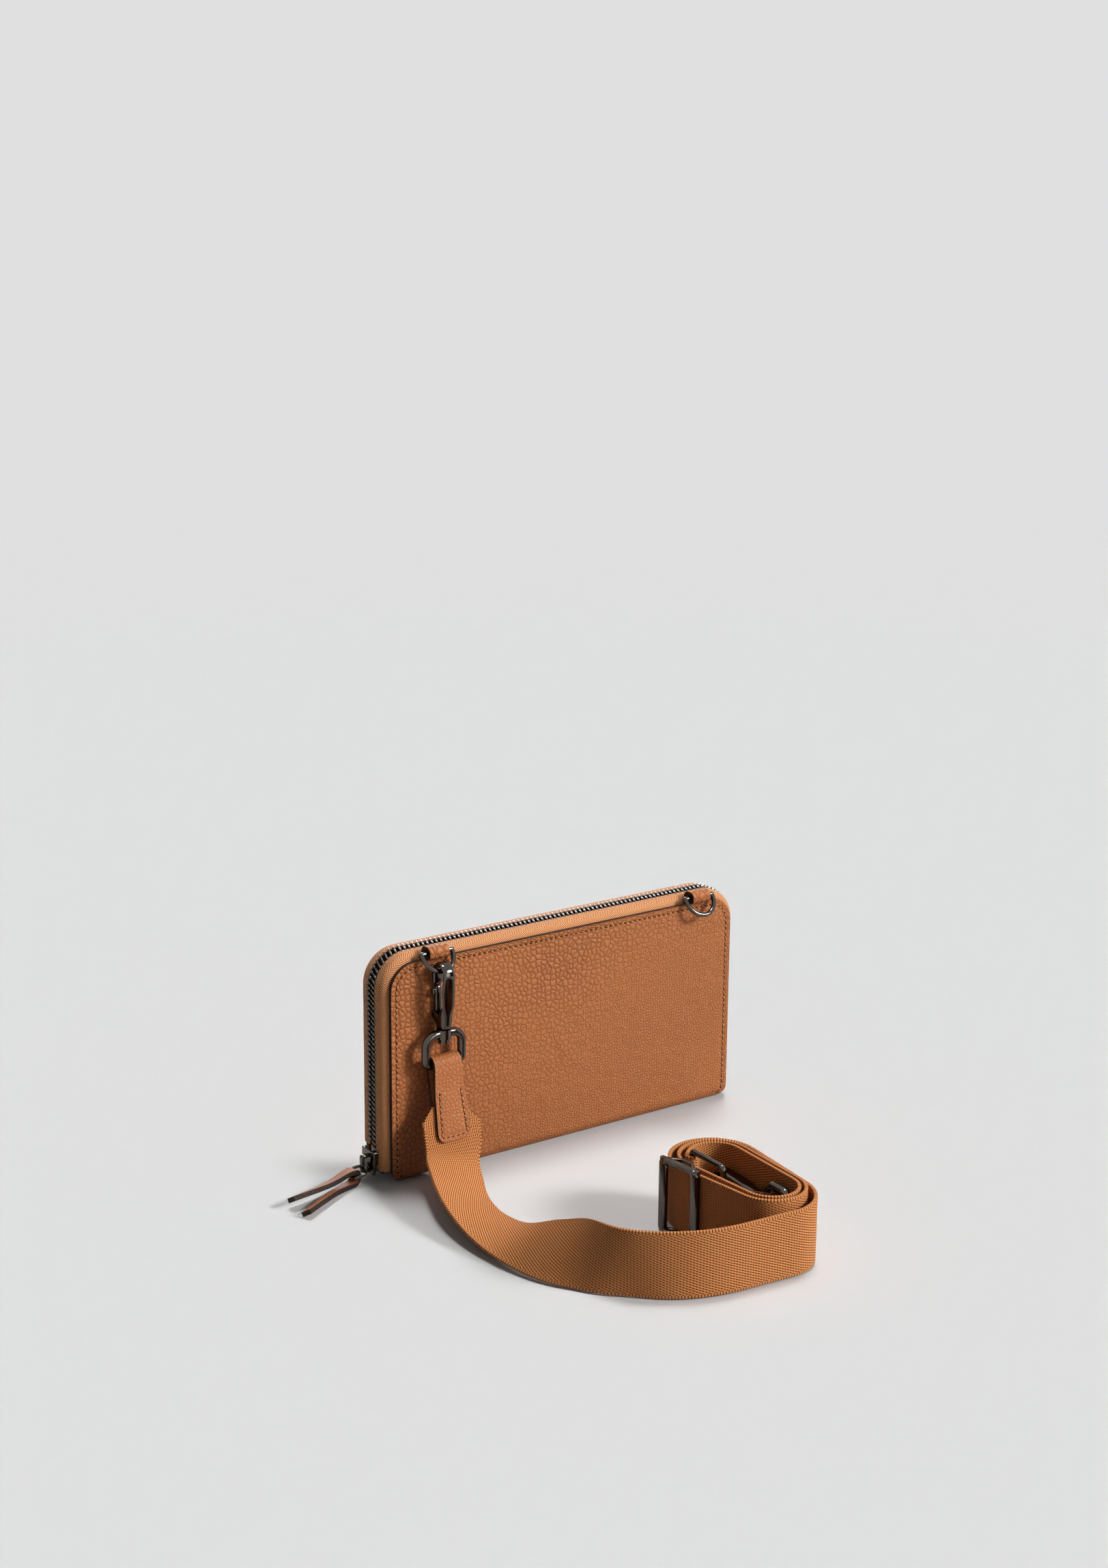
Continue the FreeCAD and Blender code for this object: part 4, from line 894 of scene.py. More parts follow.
@dataclass
class Cover:
    """The two leather panels, the spine that joins them, and their seams."""

    half_width: float = 92.0
    height: float = 100.0
    half_depth: float = 11.0
    corner: float = 12.0
    leather: float = 2.0
    edge_soft: float = 0.45
    spine: float = 6.0
    hinge: float = 0.3
    foot_corner: float = 7.0
    floor_gap: float = 0.02
    seam_inset: float = 2.6
    seam_pitch: float = 2.7
    seam_turn: float = 55.0
    top_count: int = 18
    foot_count: int = 12
    rear_seam_foot: float = 0.8
    stitch_share: float = 0.6
    thread: float = 0.42
    # hole: half-width of each disc of painted shade over a needle hole.
    hole: float = 0.62
    draw: float = 0.3
    draw_reach: float = 0.8
    full: float = 0.75
    full_reach: float = 20.0
    full_foot: Pair = (1.0, 16.0)
    ripple: float = 0.10
    ripple_shift: float = 0.7
    ripple_lengths: Pair = (23.0, 17.0)
    ripple_inset: float = 12.0
    crease: float = 0.13
    crease_spots: Steps = (64.0, 79.0)
    crease_height: float = 84.0
    crease_size: Pair = (2.4, 13.0)
    edge_columns: Steps = (0.0, 0.3, 0.7, 1.1, 1.5, 1.9, 2.3, 2.7, 3.1, 3.6, 4.4, 5.6, 7.5, 10.0, 13.0)
    inner_columns: int = 75
    inner_inset: float = 16.0
    edge_rows: Steps = (
        0.0, 0.15, 0.4, 0.7, 1.1, 1.5, 1.9, 2.3, 2.7, 3.1, 3.6, 4.4, 5.4, 6.6, 8.0, 9.5, 11.0, 12.0)
    inner_rows: int = 46
    inner_drop: float = 13.8
    bend_rows: int = 14

    def half_at(self, z: Array) -> Array:
        """Half the width at a height: less by the two corner circles at the top and at the foot.

        Args:
            z: The height.

        Returns:
            The half width.
        """
        over = np.clip(z - (self.height - self.corner), 0.0, self.corner)
        under = np.clip(self.foot_corner - z, 0.0, self.foot_corner)
        return (self.half_width - self.corner + np.sqrt(self.corner ** 2 - over ** 2)
                - self.foot_corner + np.sqrt(self.foot_corner ** 2 - under ** 2))

    def depth_at(self, z: Array) -> Array:
        """Distance of the front face from the middle at a height: full, then round the spine's circle."""
        under = np.clip(self.spine - z, 0.0, self.spine)
        return self.half_depth - self.spine + np.sqrt(self.spine ** 2 - under ** 2)

    def edge_distance(self, x: Array, z: Array) -> Array:
        """Distance of a panel's points from its cut edge on the left, the top and the right.

        Args:
            x: Place across.
            z: The height.

        Returns:
            The distance.
        """
        over_x = np.abs(x) - (self.half_width - self.corner)
        over_z = z - (self.height - self.corner)
        foot_x = np.abs(x) - (self.half_width - self.foot_corner)
        foot_z = self.foot_corner - z
        straight = np.minimum(self.half_width - np.abs(x), self.height - z)
        inset = np.where((over_x > 0) & (over_z > 0), self.corner - np.hypot(over_x, over_z), straight)
        return np.where((foot_x > 0) & (foot_z > 0), self.foot_corner - np.hypot(foot_x, foot_z), inset)

    def swell(self, x: Array, z: Array) -> Array:
        """Height of the leather over its flat shape: drawn in along the seam, a little full inside it.

        Slow ripples, and two soft creases under the right loop, are added.

        Args:
            x: Place across.
            z: The height.

        Returns:
            The height over the flat shape.
        """
        inset = self.edge_distance(x, z)
        inside = inset - self.seam_inset
        seam = -self.draw * np.exp(-(inside / self.draw_reach) ** 2)
        full = self.full * (1.0 - np.exp(-np.maximum(inside, 0.0) / self.full_reach))
        full = full * np.clip((z - self.spine - self.full_foot[0]) / self.full_foot[1], 0.0, 1.0)
        waves = np.sin(x / self.ripple_lengths[0] + self.ripple_shift) * np.sin(z / self.ripple_lengths[1])
        ripple = self.ripple * waves * np.clip(inset / self.ripple_inset, 0.0, 1.0)
        tall = ((z - self.crease_height) / self.crease_size[1]) ** 2
        crease = sum(self.crease * np.exp(-((x - spot) / self.crease_size[0]) ** 2 - tall)
                     for spot in self.crease_spots)
        return seam + full + ripple + crease

    def grid(self, line: Array, ways: Array) -> Array:
        """Carry a profile across the width, narrowed at the rounded corners, and swell it along its normal.

        Args:
            line: The profile's Y and Z, from the top of a panel down.
            ways: The profile's normal at each point.

        Returns:
            Grid of points, rows along the profile and columns across the width.
        """
        inset = np.array(self.edge_columns)
        inner = self.half_width - self.inner_inset
        middle = np.linspace(-inner, inner, self.inner_columns)
        columns = np.concatenate([inset - self.half_width, middle, (self.half_width - inset)[::-1]])
        x = self.half_at(line[:, 1:]) * columns / self.half_width
        lift = self.swell(x, np.broadcast_to(line[:, 1:], x.shape))
        return grid_of(x, line[:, :1] + lift * ways[:, :1], line[:, 1:] + lift * ways[:, 1:])

    def panel_heights(self, low: float) -> Array:
        """Heights from the top edge down, close together at the edge and the corner."""
        return np.concatenate([self.height - np.array(self.edge_rows),
                               np.linspace(self.height - self.inner_drop, low, self.inner_rows)])

    def seam_line(self, side: Side) -> Array:
        """The seam in a panel's plane: up the left side, round the corners and down the right side.

        On the front panel it starts and ends part of the way round the corners at the foot.

        Args:
            side: The panel.

        Returns:
            X and Z, one point a row.
        """
        high = self.height - self.corner
        inner = self.half_width - self.corner
        one = arc((-inner, high), self.corner - self.seam_inset, 180.0, 90.0, self.top_count)
        two = arc((inner, high), self.corner - self.seam_inset, 90.0, 0.0, self.top_count)
        low = np.array([[-self.half_width + self.seam_inset, self.spine + self.rear_seam_foot]])
        if side is Side.FRONT:
            foot = (-self.half_width + self.foot_corner, self.foot_corner)
            first = 180.0 + self.seam_turn
            low = arc(foot, self.foot_corner - self.seam_inset, first, 180.0, self.foot_count)
        return np.concatenate([low, one, two, low[::-1] * np.array([[-1.0, 1.0]])])

    def front_grid(self) -> Array:
        """The front panel with the whole spine: straight down, a quarter turn, level, a quarter turn up.

        Returns:
            Grid of points.
        """
        radius, depth = self.spine, self.half_depth
        high = self.panel_heights(radius)
        bend = arc((-depth + radius, radius), radius, 180.0, 270.0, self.bend_rows)[1:]
        rise = arc((depth - radius, radius), radius, 270.0, 360.0, self.bend_rows)
        line = np.concatenate([np.column_stack([np.full(len(high), -depth), high]), bend, [[0.0, 0.0]], rise])
        ways = np.concatenate([np.tile([-1.0, 0.0], (len(high), 1)),
                               arc((0.0, 0.0), 1.0, 180.0, 270.0, self.bend_rows)[1:], [[0.0, -1.0]],
                               arc((0.0, 0.0), 1.0, 270.0, 360.0, self.bend_rows)])
        points = self.grid(line, ways)
        points[..., 2] = np.maximum(points[..., 2], self.floor_gap)
        return points

    def rear_grid(self) -> Array:
        """The rear panel: straight down to the hinge over the spine.

        Returns:
            Grid of points.
        """
        high = self.panel_heights(self.spine + self.hinge)
        line = np.column_stack([np.full(len(high), self.half_depth), high])
        return self.grid(line, np.tile([1.0, 0.0], (len(high), 1)))

    def build(self, looks: Finishes) -> None:
        """Make both panels and their seams.

        Args:
            looks: The finishes.
        """
        halves = ((Side.FRONT, "pouch", self.front_grid()), (Side.REAR, "rear_half", self.rear_grid()))
        for side, body, points in halves:
            word = side.name.lower()
            panel = surface(word + "_panel", points, [looks.tan, looks.edge], (0.0, side.value, 0.0))
            settle(thicken(panel, self.leather, -1.0, 1, self.edge_soft), body, Slot.TAN, word + "_cover")
        for side, body, _ in halves:
            self.sew(looks, side, body)

    def sew(self, looks: Finishes, side: Side, body: str) -> None:
        """Sew one panel's seam.

        Args:
            looks: The finishes.
            side: The panel.
            body: The body that it rides on.
        """
        spots, heading = even_spots(self.seam_line(side), self.seam_pitch)
        x, z = spots[:, 0], spots[:, 1]
        holes = np.stack([x, side.value * (self.depth_at(z) + self.swell(x, z)), z], -1)
        fall = np.clip(self.spine - z, 0.0, self.spine) / self.spine
        none = np.zeros(len(holes))
        normals = np.stack([none, side.value * np.sqrt(1.0 - fall ** 2), -fall], -1)
        tangents = np.stack([heading[:, 0], none, heading[:, 1]], -1)
        seam = Seam(side.name.lower() + "_seam", body, self.stitch_share, self.thread, self.hole)
        seam.sew(looks, holes, tangents, normals)


@dataclass
class Zip:
    """The tape halves and their teeth, carried round the left, the top and the right side of the cover."""

    half_width: float = 92.0
    height: float = 100.0
    corner: float = 12.0
    hem: float = 8.0
    join: float = 0.5
    inner_face: float = 9.0
    tape: float = 0.8
    tape_soft: float = 0.25
    overhang: float = 3.0
    tape_edge: float = 2.4
    start: float = 6.0
    end: float = 15.5
    hem_rows: int = 7
    bulge_rows: int = 13
    flat_rows: int = 6
    side_count: int = 46
    corner_count: int = 17
    top_count: int = 108
    loops: Pair = (-69.8, 72.0)
    press: float = 1.75
    press_half: float = 6.2
    press_ease: float = 0.45
    press_above: float = 70.0
    press_out: Pair = (2.6, 2.0)
    pitch: float = 2.31
    tooth_half: float = 0.625
    tooth_wide: float = 0.58
    tooth_tall: float = 1.2
    tooth_round: float = 0.7
    tooth_sides: int = 10
    tooth_stations: Steps = (3.2, 2.95, 2.1, 1.1, 0.6, 0.36)
    tooth_scales: Steps = (0.62, 1.0, 1.0, 0.95, 0.95, 0.7)
    lean: float = 0.36
    slope_step: float = 0.2

    def edge(self, low: float, out: float) -> tuple[Array, Array]:
        """The cover's edge, moved outwards, and its outward direction, as lines of points in the XZ plane.

        Args:
            low: The height at which both ends stand.
            out: How far the edge is moved outwards.

        Returns:
            The points and the directions.
        """
        high, inner = self.height - self.corner, self.half_width - self.corner
        mirror = np.array([[-1.0, 1.0]])
        left = np.column_stack([np.full(self.side_count, -self.half_width - out),
                                np.linspace(low, high, self.side_count)])
        turn = arc((-inner, high), self.corner + out, 180.0, 90.0, self.corner_count)[1:]
        half = np.concatenate([left, turn])
        top = np.linspace(-inner, inner, self.top_count)[1:-1]
        across = np.column_stack([top, np.full(len(top), self.height + out)])
        line = np.concatenate([half, across, half[::-1] * mirror])
        half_ways = np.concatenate([np.tile([-1.0, 0.0], (self.side_count, 1)),
                                    arc((0.0, 0.0), 1.0, 180.0, 90.0, self.corner_count)[1:]])
        ways = np.concatenate([half_ways, np.tile([0.0, 1.0], (len(top), 1)), half_ways[::-1] * mirror])
        return line, ways

    def tape_half(self, looks: Finishes, side: Side, low: float, body: str) -> None:
        """Make one tape half: a hem, a quarter-round bulge and a flat edge under the teeth.

        This profile is carried along the cover's edge. The front one is pressed back at the ring loops.

        Args:
            looks: The finishes.
            side: The tape's side.
            low: Where it starts.
            body: The body that it rides on.
        """
        face = self.inner_face - self.tape / 2.0
        centre = face - self.overhang
        hem = np.column_stack([np.linspace(-self.hem, -self.join, self.hem_rows),
                               np.full(self.hem_rows, face)])
        flat = np.column_stack([np.full(self.flat_rows, self.overhang),
                                np.linspace(centre - self.join, self.tape_edge, self.flat_rows)])
        profile = np.concatenate([hem, arc((0.0, centre), self.overhang, 90.0, 0.0, self.bulge_rows), flat])
        out, deep = profile[:, 0], profile[:, 1]
        line, ways = self.edge(low, 0.0)
        x = line[:, :1] + ways[:, :1] * out
        z = line[:, 1:] + ways[:, 1:] * out
        y = np.broadcast_to(deep, x.shape).copy()
        if side is Side.FRONT:
            near = sum(1.0 / (1.0 + np.exp((np.abs(x - spot) - self.press_half) / self.press_ease))
                       for spot in self.loops)
            y -= (self.press * near * (z > self.press_above)
                  * np.clip((self.press_out[0] - out) / self.press_out[1], 0.0, 1.0))
        points = grid_of(x, side.value * y, z)
        word = side.name.lower()
        piece = surface(word + "_zip_tape", points, [looks.tape], (0.0, side.value, 0.0))
        settle(thicken(piece, self.tape, 0.0, 0, self.tape_soft), body, Slot.TAPE, word + "_tape")

    def teeth(self, looks: Finishes, side: Side, low: float, shift: float, body: str) -> None:
        """Set a row of teeth: a superellipse carried over six stations and slanted, one each pitch.

        Args:
            looks: The finishes.
            side: The tape that carries them.
            low: Where the row starts.
            shift: How far the first tooth is moved along.
            body: The body that they ride on.
        """
        line, _ = self.edge(low, self.overhang)
        reach = reach_along(line)
        asked = np.arange(self.tooth_half + shift, reach[-1] - self.tooth_half, self.pitch)
        spot, ahead, behind = (
            np.stack([np.interp(asked + step, reach, line[:, axis]) for axis in range(2)], -1)
            for step in (0.0, self.slope_step, -self.slope_step))
        along = unit(ahead - behind)[:, None, None]
        out = np.stack([-along[..., 1], along[..., 0]], -1)
        across = np.array(self.tooth_stations)
        scale = np.array(self.tooth_scales)[:, None]
        wide, tall = squared(circle(self.tooth_sides) + math.pi / self.tooth_sides, self.tooth_round)
        step = (self.lean * across * side.value)[:, None] + scale * self.tooth_wide * wide
        lift = scale * self.tooth_tall * tall
        flat = spot[:, None, None] + along * step[..., None] + out * lift[..., None]
        rings = grid_of(flat[..., 0], side.value * across[:, None], flat[..., 1])
        word = side.name.lower()
        settle(lofts(word + "_zip_teeth", rings, looks.satin), body, Slot.ZIP, word + "_teeth")

    def build(self, looks: Finishes) -> None:
        """Make both halves of the zip.

        Args:
            looks: The finishes.
        """
        shift = (self.start - self.end) % self.pitch
        for side, low, moved, body in ((Side.FRONT, self.start, 0.0, "pouch"),
                                       (Side.REAR, self.end, shift, "rear_half")):
            self.tape_half(looks, side, low, body)
            self.teeth(looks, side, low, moved, body)


@dataclass(frozen=True)
class Board:
    """One flat inner piece: its solid, its outline, its middle face, the side that shows, body and kind."""

    node: str
    half: float
    low: float
    high: float
    y: float
    out: float
    body: str
    cloth: bool


@dataclass
class Inside:
    """Linings, pockets and gussets."""

    thickness: float = 0.8
    lining_half: float = 83.5
    lining_low: float = 6.8
    lining_top: float = 91.5
    lining_y: float = 8.6
    pocket_half: float = 75.0
    pocket_top: float = 68.8
    slot_half: float = 52.0
    slot_low: float = 10.0
    slot_top: float = 70.0
    slot_step: float = 14.0
    corner: float = 3.5
    soft: float = 0.2
    edge_rows: Steps = (0.0, 0.2, 0.6, 1.2, 2.0, 3.5)
    inner_drop: float = 6.0
    inner_rows: int = 30
    columns: int = 41
    ripple: float = 0.12
    ripple_length: float = 19.0
    ripple_side: float = 4.0
    ripple_top: float = 8.0
    gusset_height: float = 72.0
    gusset_reach: float = 8.0
    gusset_round: float = 1.4
    gusset_half: float = 8.2
    gusset_gap: float = 0.45
    gusset_soft: float = 0.15
    gusset_rows: int = 40
    gusset_columns: int = 33
    pleat: float = 0.25
    pleat_length: float = 6.5
    bend_half: float = 6.0
    bend_height: float = 40.0

    def board_grid(self, board: Board) -> Array:
        """A flat piece with rounded upper corners and a slight fullness, as a grid from its top down.

        Args:
            board: What it is.

        Returns:
            Grid of points.
        """
        half, high, turn = board.half, board.high, self.corner
        z = np.concatenate([high - np.array(self.edge_rows),
                            np.linspace(high - self.inner_drop, board.low, self.inner_rows)])[:, None]
        over = np.clip(z - (high - turn), 0.0, turn)
        x = (half - turn + np.sqrt(turn ** 2 - over ** 2)) * np.linspace(-1.0, 1.0, self.columns)
        loose = (np.clip((1.0 - (x / half) ** 2) * self.ripple_side, 0.0, 1.0)
                 * np.clip((high - z) / self.ripple_top, 0.0, 1.0))
        ripple = self.ripple * np.sin(x / self.ripple_length + high) * loose
        return grid_of(x, board.y + board.out * ripple, z)

    def flat_piece(self, looks: Finishes, board: Board) -> None:
        """Make one lining or pocket.

        Args:
            looks: The finishes.
            board: What it is.
        """
        points = self.board_grid(board)
        finishes = [looks.cloth] if board.cloth else [looks.inner, looks.edge]
        piece = surface(board.node + "_sewn", points, finishes, (0.0, board.out, 0.0))
        thicken(piece, self.thickness, 0.0, 0 if board.cloth else 1, self.soft)
        settle(piece, board.body, Slot.CLOTH if board.cloth else Slot.INNER, board.node)

    def gusset(self, looks: Finishes, node: str, side: float) -> None:
        """Make one gusset: a soft fold that goes in from both halves, carried upwards.

        Args:
            looks: The finishes.
            node: The solid that it stands for.
            side: -1 for the left one, 1 for the right one.
        """
        run = np.linspace(-1.0, 1.0, self.gusset_columns)
        z = np.linspace(self.lining_low, self.lining_low + self.gusset_height, self.gusset_rows)[:, None]
        bow = np.cos(run * math.pi / 2.0)
        reach = self.gusset_reach * bow ** self.gusset_round
        pleat = self.pleat * np.sin(z / self.pleat_length) * bow
        x = side * (self.lining_half - self.gusset_gap - reach + pleat)
        points = grid_of(x, self.gusset_half * run, z)
        piece = surface(node + "_fold", points, [looks.cloth], (side, 0.0, 0.0))
        thicken(piece, self.thickness, 0.0, 0, self.gusset_soft)
        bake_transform(piece)
        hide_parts(node)
        log.info("%s bends between pouch and rear_half", piece.name)

    def build(self, looks: Finishes) -> None:
        """Make all inner pieces, each pocket one thickness further in than the piece behind it.

        Args:
            looks: The finishes.
        """
        half, low, top, y = self.lining_half, self.lining_low, self.lining_top, self.lining_y
        boards = [Board("front_lining", half, low, top, -y, 1.0, "pouch", True),
                  Board("rear_lining", half, low, top, y, -1.0, "rear_half", True),
                  Board("slip_pocket", self.pocket_half, low, self.pocket_top, self.thickness - y, 1.0,
                        "pouch", False)]
        boards += [Board("card_slot_%d" % number, self.slot_half, self.slot_low,
                         self.slot_top - self.slot_step * (number - 1), y - self.thickness * number, -1.0,
                         "rear_half", False) for number in (1, 2, 3)]
        for board in boards:
            self.flat_piece(looks, board)
        self.gusset(looks, "left_gusset", -1.0)
        self.gusset(looks, "right_gusset", 1.0)


@dataclass
class RingLoops:
    """The two leather loops that hold the D-rings on the top edge."""

    spots: Pair = (-69.8, 72.0)
    width: float = 10.0
    leather: float = 1.5
    soft: float = 0.3
    bar_y: float = -12.2
    bar_z: float = 103.2
    wrap: float = 2.1
    wrap_end: float = 268.0
    tongue_y: float = -8.25
    tongue_z: float = 94.0
    tongue_gap: float = 0.5
    tail: tuple[Pair, ...] = ((1.0, 0.0), (2.0, 0.1), (2.9, 0.3))
    rise_rows: int = 9
    wrap_rows: int = 19
    columns: int = 11

    def build(self, looks: Finishes) -> None:
        """Make both loops: up from behind the panel, over to the front, round the ring's bar and back.

        Args:
            looks: The finishes.
        """
        rise = np.column_stack([np.full(self.rise_rows, self.tongue_y),
                                np.linspace(self.tongue_z, self.bar_z - self.tongue_gap, self.rise_rows)])
        over = arc((self.tongue_y - self.wrap, self.bar_z), self.wrap, 0.0, 90.0, self.rise_rows)
        around = arc((self.bar_y, self.bar_z), self.wrap, 90.0, self.wrap_end, self.wrap_rows)
        tail = np.array(self.tail) + [self.bar_y, self.bar_z - self.wrap]
        line = np.concatenate([rise, over, around, tail])
        for word, spot in zip(("left", "right"), self.spots):
            x = spot + self.width / 2.0 * np.linspace(-1.0, 1.0, self.columns)
            points = grid_of(x, line[:, :1], line[:, 1:])
            piece = surface(word + "_ring_loop", points, [looks.tan, looks.edge], (0.0, -1.0, 0.0))
            settle(thicken(piece, self.leather, 0.0, 1, self.soft), "pouch", Slot.TAN, word + "_loop")


@dataclass
class PullStrip:
    """The leather strip that is folded through the zip's pull ring and ends in two tails."""

    hub: Place = (-107.262, -1.505, 4.155)
    heading: float = 20.0
    fold: float = 2.93
    leather: float = 2.2
    soft: float = 0.3
    width: float = 5.0
    upper: float = 33.5
    lower: float = 36.5
    upper_height: float = 0.4
    lower_height: float = -1.6
    upper_arch: float = 1.1
    closing: float = 3.6
    spread: float = 9.0
    spread_power: float = 1.25
    roll: float = 31.0
    roll_power: float = 0.6
    steep: float = 0.3
    tail_rows: int = 26
    fold_rows: int = 17
    columns: int = 9

    def tail(self, share: Array, length: float, sign: float, height: float, arch: float) -> Array:
        """Draw one tail's middle line: it closes on the other by a bell curve, then bends away sideways.

        Args:
            share: Share of the tail's length from the fold.
            length: The tail's length.
            sign: 1 for the upper tail, -1 for the lower one.
            height: Its height over the ring's middle where it lies flat.
            arch: How far it arches up half-way.

        Returns:
            One point a row.
        """
        yaw = sign * math.tan(math.radians(self.spread))
        close = np.exp(-(share * self.closing) ** 2)
        return np.column_stack([-length * share, yaw * length * share ** self.spread_power,
                                height + (sign * self.fold - height) * close + arch * share * (1.0 - share)])

    def build(self, looks: Finishes) -> None:
        """Make the strip: along the upper tail, half a turn round the ring, and out along the lower tail.

        The tails roll their near edges up.

        Args:
            looks: The finishes.
        """
        share = np.linspace(1.0, 0.0, self.tail_rows)
        turn = arc((0.0, 0.0), self.fold, 90.0, -90.0, self.fold_rows)[1:-1]
        none = np.zeros(len(turn))
        line = np.concatenate([self.tail(share, self.upper, 1.0, self.upper_height, self.upper_arch),
                               np.column_stack([turn[:, 0], none, turn[:, 1]]),
                               self.tail(share[::-1], self.lower, -1.0, self.lower_height, 0.0)])
        ahead = np.gradient(line, axis=0)
        flat = np.column_stack([-ahead[:, 1], ahead[:, 0], np.zeros(len(line))])
        flat[np.abs(ahead[:, 0]) < self.steep * np.abs(ahead[:, 2])] = [0.0, 1.0, 0.0]
        flat = unit(flat * np.sign(flat[:, 1:2]))
        far = np.concatenate([share, none, share[::-1]])[:, None]
        rolled = far ** self.roll_power * math.radians(self.roll)
        tilted = flat * np.cos(rolled) - np.array([0.0, 0.0, 1.0]) * np.sin(rolled)
        across = np.linspace(-0.5, 0.5, self.columns) * self.width
        points = line[:, None] + tilted[:, None] * across[None, :, None]
        points = turned(points, self.heading) + np.array(self.hub)
        piece = surface("pull_strip_leather", points, [looks.smooth, looks.edge], (0.0, 0.0, 1.0))
        settle(thicken(piece, self.leather, 0.0, 1, self.soft), "pull_strip", Slot.STRIP, "pull_strip")


@dataclass
class StrapTab:
    """The leather tab that is folded round the swivel ring and sewn over the strap's end."""

    base: Place = (-69.8, -17.439, 54.582)
    tilt: float = 12.5
    top_width: float = 13.6
    end_width: float = 17.0
    length: float = 34.0
    corner: float = 4.0
    leather: float = 1.6
    soft: float = 0.35
    strap: float = 1.5
    fold: float = 3.0
    fold_reach: float = 8.5
    seam_inset: float = 2.1
    seam_top: float = 13.0
    seam_pitch: float = 2.7
    seam_sink: float = 0.2
    stitch_share: float = 0.64
    thread: float = 0.38
    # hole: half-width of each disc of painted shade over a needle hole.
    hole: float = 0.56
    draw: float = 0.25
    draw_reach: float = 0.7
    draw_above: float = 1.0
    puff: float = 0.22
    puff_reach: float = 2.5
    edge_rows: Steps = (0.0, 0.15, 0.5, 1.0, 1.7, 2.6, 4.0)
    inner_drop: float = 5.0
    inner_rows: int = 34
    last_row: float = 0.3
    fold_rows: int = 19
    columns: Steps = (-1.0, -0.97, -0.92, -0.86, -0.78, -0.7, -0.62, -0.5, -0.3, 0.0)

    def place(self, points: Array) -> Array:
        """Tilt local points forward about X and move them to the ring's lower bar.

        Args:
            points: Local points.

        Returns:
            Points in the frame.
        """
        angle = math.radians(-self.tilt)
        turn = np.array([[1.0, 0.0, 0.0], [0.0, math.cos(angle), -math.sin(angle)],
                         [0.0, math.sin(angle), math.cos(angle)]])
        return points @ turn.T + np.array(self.base)

    def leaf(self, drop: Array) -> Array:
        """Distance of a leaf's middle from the tab's plane at a drop: wide at the fold, then flat."""
        thin = (self.strap + self.leather) / 2.0
        return thin + (self.fold - thin) * np.exp(-(np.maximum(drop, 0.0) / self.fold_reach) ** 2)

    def half(self, drop: Array) -> Array:
        """Half the tab's width at a drop below the bar, with rounded lower corners.

        Args:
            drop: Distance below the bar.

        Returns:
            The half width.
        """
        share = np.clip(drop / self.length, 0.0, 1.0)
        wide = (self.top_width + (self.end_width - self.top_width) * share) / 2.0
        over = np.clip(drop - (self.length - self.corner), 0.0, self.corner)
        return wide - self.corner + np.sqrt(np.maximum(self.corner ** 2 - over ** 2, 0.0))

    def build(self, looks: Finishes) -> None:
        """Make the tab, drawn in at its seam and puffed inside it, and the sewn rectangle on both leaves.

        Args:
            looks: The finishes.
        """
        drop = np.concatenate([self.length - np.array(self.edge_rows),
                               np.linspace(self.length - self.inner_drop, self.last_row, self.inner_rows)])
        over = arc((0.0, 0.0), self.fold, 180.0, 0.0, self.fold_rows)
        y = np.concatenate([-self.leaf(drop), over[:, 0], self.leaf(drop[::-1])])[:, None]
        z = np.concatenate([-drop, over[:, 1], -drop[::-1]])[:, None]
        depth = np.concatenate([drop, np.zeros(self.fold_rows), drop[::-1]])[:, None]
        share = np.concatenate([self.columns, -np.array(self.columns[-2::-1])])
        x = self.half(depth) * share
        inset = np.minimum(self.half(depth) - np.abs(x), self.length - depth)
        seam = (np.exp(-((inset - self.seam_inset) / self.draw_reach) ** 2)
                * (depth > self.seam_top - self.draw_above))
        puff = np.clip((inset - self.seam_inset) / self.puff_reach, 0.0, 1.0) * (depth > self.seam_top)
        points = self.place(grid_of(x, y + np.sign(y) * (self.puff * puff - self.draw * seam), z))
        piece = surface("strap_tab_leather", points, [looks.tab, looks.edge], (0.0, 0.0, 1.0))
        settle(thicken(piece, self.leather, 0.0, 1, self.soft), "strap", Slot.TAN, "strap_tab")
        for word, sign in (("front", -1.0), ("back", 1.0)):
            self.sew(looks, word, sign)

    def sew(self, looks: Finishes, word: str, sign: float) -> None:
        """Sew the rectangle on one leaf.

        Args:
            looks: The finishes.
            word: The leaf's name.
            sign: The side of the tab's plane on which it lies.
        """
        low = self.length - self.seam_inset
        top_half = float(self.half(np.array(self.seam_top))) - self.seam_inset
        low_half = self.end_width / 2.0 - self.seam_inset
        corners = np.array([[-top_half, self.seam_top], [-low_half, low], [low_half, low],
                            [top_half, self.seam_top]])
        rows = [even_spots(np.stack([corners[at], corners[(at + 1) % 4]]), self.seam_pitch)[0][:-1]
                for at in range(4)]
        flat = np.concatenate(rows + [corners[:1]])
        lift = self.leaf(flat[:, 1]) + self.leather / 2.0 - self.seam_sink
        holes = self.place(np.stack([flat[:, 0], sign * lift, -flat[:, 1]], -1))
        normals = np.tile(self.place(np.array([[0.0, sign, 0.0]])) - np.array(self.base), (len(holes), 1))
        seam = Seam("tab_%s_seam" % word, "strap", self.stitch_share, self.thread, self.hole)
        seam.sew(looks, holes, unit(np.gradient(holes, axis=0)), normals)


